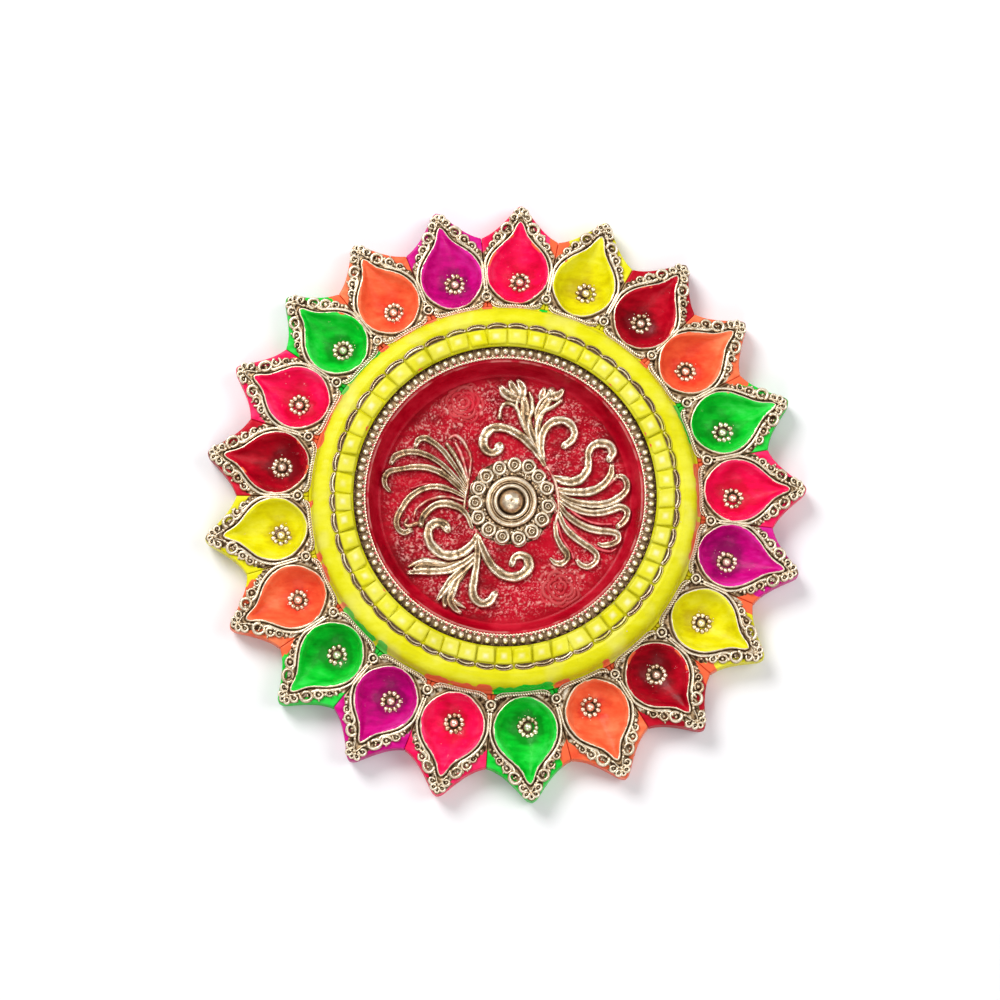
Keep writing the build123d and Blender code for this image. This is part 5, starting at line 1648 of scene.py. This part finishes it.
SPRAY_LEFT = [
    [(-18.0, 10.2, 0.7), (-19.0, 5.0, 0.8), (-19.8, 0.5, 0.8),
     (-20.4, -5.0, 0.9)],
    [(-18.0, 10.2, 0.6), (-17.2, 16.0, 0.8), (-17.0, 20.6, 0.9),
     (-18.6, 25.0, 1.0), (-21.0, 29.2, 1.1), (-24.4, 31.8, 1.1),
     (-27.6, 30.6, 0.9)],
    [(-18.4, 9.2, 0.6), (-19.6, 15.6, 0.8), (-21.8, 22.6, 1.0),
     (-24.6, 28.0, 0.9)],
    [(-18.6, 8.2, 0.7), (-20.6, 13.6, 1.0), (-22.8, 18.0, 1.2),
     (-25.6, 23.0, 1.3), (-28.8, 27.6, 1.2)],
    [(-19.0, 6.6, 0.7), (-22.8, 13.0, 1.0), (-27.0, 19.2, 1.2),
     (-31.0, 24.4, 1.4), (-35.4, 28.2, 1.5), (-39.6, 30.6, 1.6),
     (-43.0, 29.6, 1.5), (-44.4, 26.8, 1.1)],
    [(-19.4, 4.8, 0.7), (-24.4, 10.6, 1.0), (-29.2, 15.6, 1.2),
     (-34.0, 19.4, 1.3), (-39.4, 22.2, 1.4), (-45.0, 23.6, 1.5),
     (-50.0, 23.2, 1.7), (-54.6, 21.2, 1.7), (-56.4, 18.2, 1.1)],
    [(-19.8, 2.8, 0.7), (-24.6, 7.4, 1.1), (-29.2, 11.4, 1.4),
     (-34.0, 14.2, 1.6), (-39.4, 15.8, 1.6), (-45.2, 16.0, 1.5),
     (-51.8, 15.0, 1.3), (-57.4, 13.6, 1.4), (-59.8, 10.4, 1.4),
     (-59.4, 6.6, 1.2), (-57.4, 4.2, 0.8)],
    [(-20.0, 1.0, 0.7), (-25.0, 3.6, 1.0), (-29.4, 5.4, 1.3),
     (-34.6, 6.2, 1.5), (-40.0, 5.2, 1.5), (-44.8, 2.6, 1.5),
     (-48.4, -0.8, 1.5), (-51.0, -4.8, 1.5), (-53.4, -9.4, 1.5),
     (-53.4, -14.0, 1.5), (-50.2, -16.8, 1.4), (-46.8, -15.8, 1.2)],
    [(-29.0, 5.6, 0.5), (-38.0, 7.6, 0.7), (-46.4, 5.4, 0.6)],
    [(-20.2, -1.2, 0.6), (-26.0, 0.6, 0.8), (-31.0, 1.1, 0.9),
     (-36.6, -0.1, 0.9), (-41.0, -2.5, 0.9), (-44.2, -5.7, 0.9),
     (-45.0, -9.2, 0.8)],
    [(-16.4, -14.0, 0.8), (-18.4, -9.0, 1.2), (-21.2, -5.4, 1.6),
     (-25.2, -3.2, 1.8), (-29.6, -2.3, 1.8), (-34.0, -3.1, 1.8),
     (-38.0, -5.9, 1.8), (-40.7, -9.4, 1.6), (-41.6, -13.0, 1.2)],
    [(-41.0, -11.0, 1.0), (-44.6, -12.6, 1.3), (-47.6, -13.6, 1.2),
     (-49.6, -12.4, 0.9), (-48.6, -10.2, 0.8)],
]
SPRAY_BOTTOM = [
    [(-13.9, -18.2, 1.0), (-15.4, -21.4, 1.4), (-18.2, -24.8, 1.7),
     (-22.6, -27.4, 1.9), (-27.6, -28.2, 2.0), (-32.4, -26.8, 2.0),
     (-36.2, -23.2, 2.0), (-38.0, -18.6, 1.9), (-37.2, -14.2, 1.9),
     (-34.0, -11.9, 1.9), (-30.4, -12.6, 1.9), (-28.7, -15.0, 1.8)],
    [(-12.9, -19.4, 0.9), (-11.2, -24.4, 1.4), (-8.9, -29.4, 1.7),
     (-5.4, -34.4, 1.9), (-0.8, -37.9, 2.0), (4.0, -39.0, 2.1),
     (8.8, -37.6, 2.1), (11.7, -33.8, 2.1), (11.0, -29.8, 1.9),
     (7.7, -28.1, 1.6), (4.6, -29.4, 1.4), (3.4, -32.2, 1.4)],
    [(-13.4, -19.0, 0.9), (-13.6, -25.4, 1.3), (-14.0, -32.2, 1.4),
     (-15.0, -39.0, 1.6), (-15.9, -44.6, 1.8), (-14.9, -49.4, 1.9),
     (-11.3, -52.0, 1.9), (-7.6, -51.0, 1.9), (-5.2, -47.6, 1.6)],
    [(-13.8, -26.6, 0.9), (-18.4, -30.8, 1.2), (-23.0, -33.6, 1.5),
     (-28.6, -35.6, 1.6), (-35.0, -36.2, 1.5), (-41.0, -36.2, 1.4),
     (-47.4, -36.8, 0.9)],
    [(-19.4, -31.2, 0.7), (-24.0, -32.2, 0.9), (-29.0, -32.4, 1.1),
     (-35.2, -31.2, 1.3), (-39.8, -30.6, 1.4), (-43.6, -31.8, 1.2),
     (-47.4, -33.8, 0.7)],
    [(-13.9, -29.0, 0.9), (-18.8, -33.8, 1.4), (-22.8, -37.4, 1.8),
     (-26.4, -40.6, 1.8), (-29.0, -44.2, 1.6), (-31.6, -47.8, 1.2),
     (-33.2, -50.2, 0.7)],
    [(-22.2, -37.4, 1.0), (-24.4, -42.4, 1.5), (-26.2, -47.0, 1.8),
     (-26.8, -51.2, 1.6), (-24.8, -54.4, 1.3), (-22.2, -56.4, 0.8)],
    [(-25.9, -47.6, 0.7), (-23.9, -50.6, 0.7), (-21.6, -52.4, 0.6),
     (-19.6, -54.2, 0.5)],
    [(-26.6, -40.8, 0.6), (-31.0, -41.4, 0.6)],
    [(-15.6, -28.4, 0.9), (-21.8, -32.4, 1.6), (-28.8, -34.2, 2.0),
     (-35.8, -33.9, 2.0), (-41.4, -33.6, 1.6), (-44.8, -35.4, 0.9)],
    [(-15.6, -31.0, 0.9), (-20.8, -36.6, 1.6), (-24.9, -41.8, 2.1),
     (-27.6, -46.4, 2.1), (-29.4, -50.4, 1.4), (-29.6, -53.4, 0.8)],
    [(-26.4, -49.0, 0.9), (-23.6, -51.6, 1.3), (-20.6, -53.6, 0.8)],
]

SPRAY_SWELL = 1.3
# share of gold left on each stroke (the rest is washed over with red)
GOLD_SHARE = {
    "top": [1, 1, .8, .95, .85, .85, .75, .7, .7, .7, .85, .6, .9, .8],
    "right": [.5, .95, .9, .4, .9, .85, .9, .35, .85, .35, .85, .35],
    "left": [.6, .5, .45, .75, .8, .72, .85, .75, .4, .5, 1, .6],
    "bottom": [1, 1, .85, .85, .7, .9, .9, .5, .4, .95, .95, .8],
}


def make_spray(name, strokes, node, seed):
    B = Builder()
    g = np.random.default_rng(seed)
    shares = GOLD_SHARE[name]
    order = sorted(range(len(strokes)),
                   key=lambda k: np.mean([p[2] for p in strokes[k]]))
    for rank, k in enumerate(order):
        st = np.asarray(strokes[k], float)
        ch = catmull(st, 9)
        p, w = ch[:, :2], ch[:, 2] * 1.0
        d = np.concatenate([[0], np.cumsum(np.linalg.norm(
            np.diff(p, axis=0), axis=1))])
        T = tangents(p)
        Nn = np.stack([-T[:, 1], T[:, 0]], -1)
        wob = 0.22 * (vnoise(d / 2.2, k * 3.1, seed=seed) - .5)
        p = p + Nn * wob[:, None]
        wm = float(np.mean(w))
        w = w * (SPRAY_SWELL if wm > 1.12 else 1.15) * \
            (0.88 if name == "left" else 1.0)
        w = w * (1 + 0.2 * (vnoise(d / 2.6, k * 5.3, seed=seed + 1) - .5))
        start = smooth(0, 3.0, d) * 0.5 + 0.5
        h = (1.65 + 0.85 * np.clip(w / 2.2, 0.3, 1.1)) * start
        prof = "twin" if wm > 1.12 else "round"
        h = h * (1 + 0.16 * (vnoise(d / 1.3, k, seed=seed + 2) - .5))
        z = 9.15 + 0.012 * rank
        tone = np.clip(0.36 + 0.95 * fbm(d / 4.5, k * 2.3, seed=seed + 7),
                       0.34, 1.05)
        if (name, k) in (("top", 12), ("top", 13), ("bottom", 9),
                         ("bottom", 10)):
            h, tone = h * 0.8, tone * 0.62      # leaf bodies lie lower
        if name == "left":
            tone = tone * (0.72 + 0.28 * smooth(-42, -22, p[:, 0]))
        ridge(B, p, w, h, z, prof=prof, skirt=0.7, gold=shares[k],
              tone=tone)
        if w[-1] > 1.0:
            rb = max(w[-1] * 0.92, 1.2)
            q = p[-1] - T[-1] * 0.3
            dome(B, q[0], q[1], z, rb, rb, float(h[-1]) * 1.15, nr=6, ns=18,
                 skirt=0.6, lo=0.1, gold=min(1.0, shares[k] + .1))
    return B.build(node + "_relief", M_SPRAY, (node,))


make_spray("top", SPRAY_TOP, "spray_top", 201)
make_spray("right", SPRAY_RIGHT, "spray_right", 211)
make_spray("left", SPRAY_LEFT, "spray_left", 221)
make_spray("bottom", SPRAY_BOTTOM, "spray_bottom", 231)


def make_roses():
    B = Builder()
    g = np.random.default_rng(88)
    for cx, cy, spin in ((-21.0, 48.6, 10), (27.0, -44.2, 40)):
        dome(B, cx, cy, 9.0, 1.5, 1.4, 1.7, nr=6, ns=20, pale=0.1,
             deep=0.0)
        for row, (R, m, w, h) in enumerate(((3.0, 3, .9, 1.3),
                                            (5.3, 4, 1.0, 1.15),
                                            (7.6, 5, 1.0, 0.95),
                                            (9.6, 6, .8, 0.6))):
            for k in range(m):
                t0 = math.radians(spin + row * 37) + 2 * math.pi * k / m \
                    + g.normal(0, .12)
                sp = 2 * math.pi / m * g.uniform(.45, .62)
                t = np.linspace(t0 - sp, t0 + sp, 16)
                rr = R * (1.08 + g.normal(0, .04)
                          - 0.26 * ((t - t0) / sp) ** 2)
                path = np.stack([cx + rr * np.cos(t), cy + rr * np.sin(t)],
                                -1)
                ok = np.hypot(path[:, 0], path[:, 1]) < 61.0
                if ok.sum() < 5:
                    continue
                path = path[ok]
                e = np.linspace(-1, 1, len(path))
                ridge(B, path[::-1], w * (1 - 0.5 * e ** 2),
                      h * (1 - 0.6 * e ** 2), 9.1, prof="vee",
                      pale=0.02 + 0.16 * g.random())
    return B.build("pressed_roses", M_RED, ("rose_sprigs",))


make_roses()
# ---------------------------------------------------------------------------
# studio
# ---------------------------------------------------------------------------
def studio():
    sc = bpy.context.scene
    N = Nodes("studio_floor")
    n = N.noise(3, 2, 0.4)
    N.set("Base Color", N.ramp(n, [(0.3, (0.88, 0.88, 0.89, 1)),
                                   (0.7, (0.91, 0.91, 0.92, 1))]))
    N.set("Roughness", 0.9)
    me = bpy.data.meshes.new("studio_floor")
    s = 3.0
    me.from_pydata([(-s, -s, 0), (s, -s, 0), (s, s, 0), (-s, s, 0)], [],
                   [(0, 1, 2, 3)])
    me.update()
    fl = bpy.data.objects.new("studio_floor", me)
    sc.collection.objects.link(fl)
    me.materials.append(N.m)
    fl.location.z = -0.0002

    def area(name, loc, size, power, target=(0, 0, 0), color=(1, 1, 1)):
        li = bpy.data.lights.new(name, 'AREA')
        li.shape = 'DISK'
        li.size = size
        li.energy = power
        li.color = color
        ob = bpy.data.objects.new(name, li)
        sc.collection.objects.link(ob)
        ob.location = loc
        d = (np.array(loc) - np.array(target))
        d = d / np.linalg.norm(d)
        import mathutils
        ob.rotation_euler = mathutils.Vector(d).to_track_quat(
            'Z', 'Y').to_euler()
        return ob

    area("key", (-0.75, 0.95, 1.35), 0.9, 25.5)
    area("fill", (1.1, 0.15, 1.3), 1.1, 11.0)
    area("front", (-0.25, -1.3, 1.3), 1.1, 9.0)
    w = bpy.data.worlds.new("studio_world")
    w.use_nodes = True
    bg = w.node_tree.nodes["Background"]
    bg.inputs["Color"].default_value = (0.97, 0.97, 1.0, 1)
    bg.inputs["Strength"].default_value = 0.27
    sc.world = w
    cam = bpy.data.cameras.new("camera")
    cam.lens = 79.2
    cam.sensor_width = 36.0
    cam.shift_x = -0.005
    cam.shift_y = 0.002
    co = bpy.data.objects.new("camera", cam)
    sc.collection.objects.link(co)
    t = math.radians(8.5)
    co.location = (0, -1.1 * math.sin(t), 1.1 * math.cos(t))
    co.rotation_euler = (t, 0, 0)
    sc.camera = co
    sc.view_settings.view_transform = 'Standard'


studio()
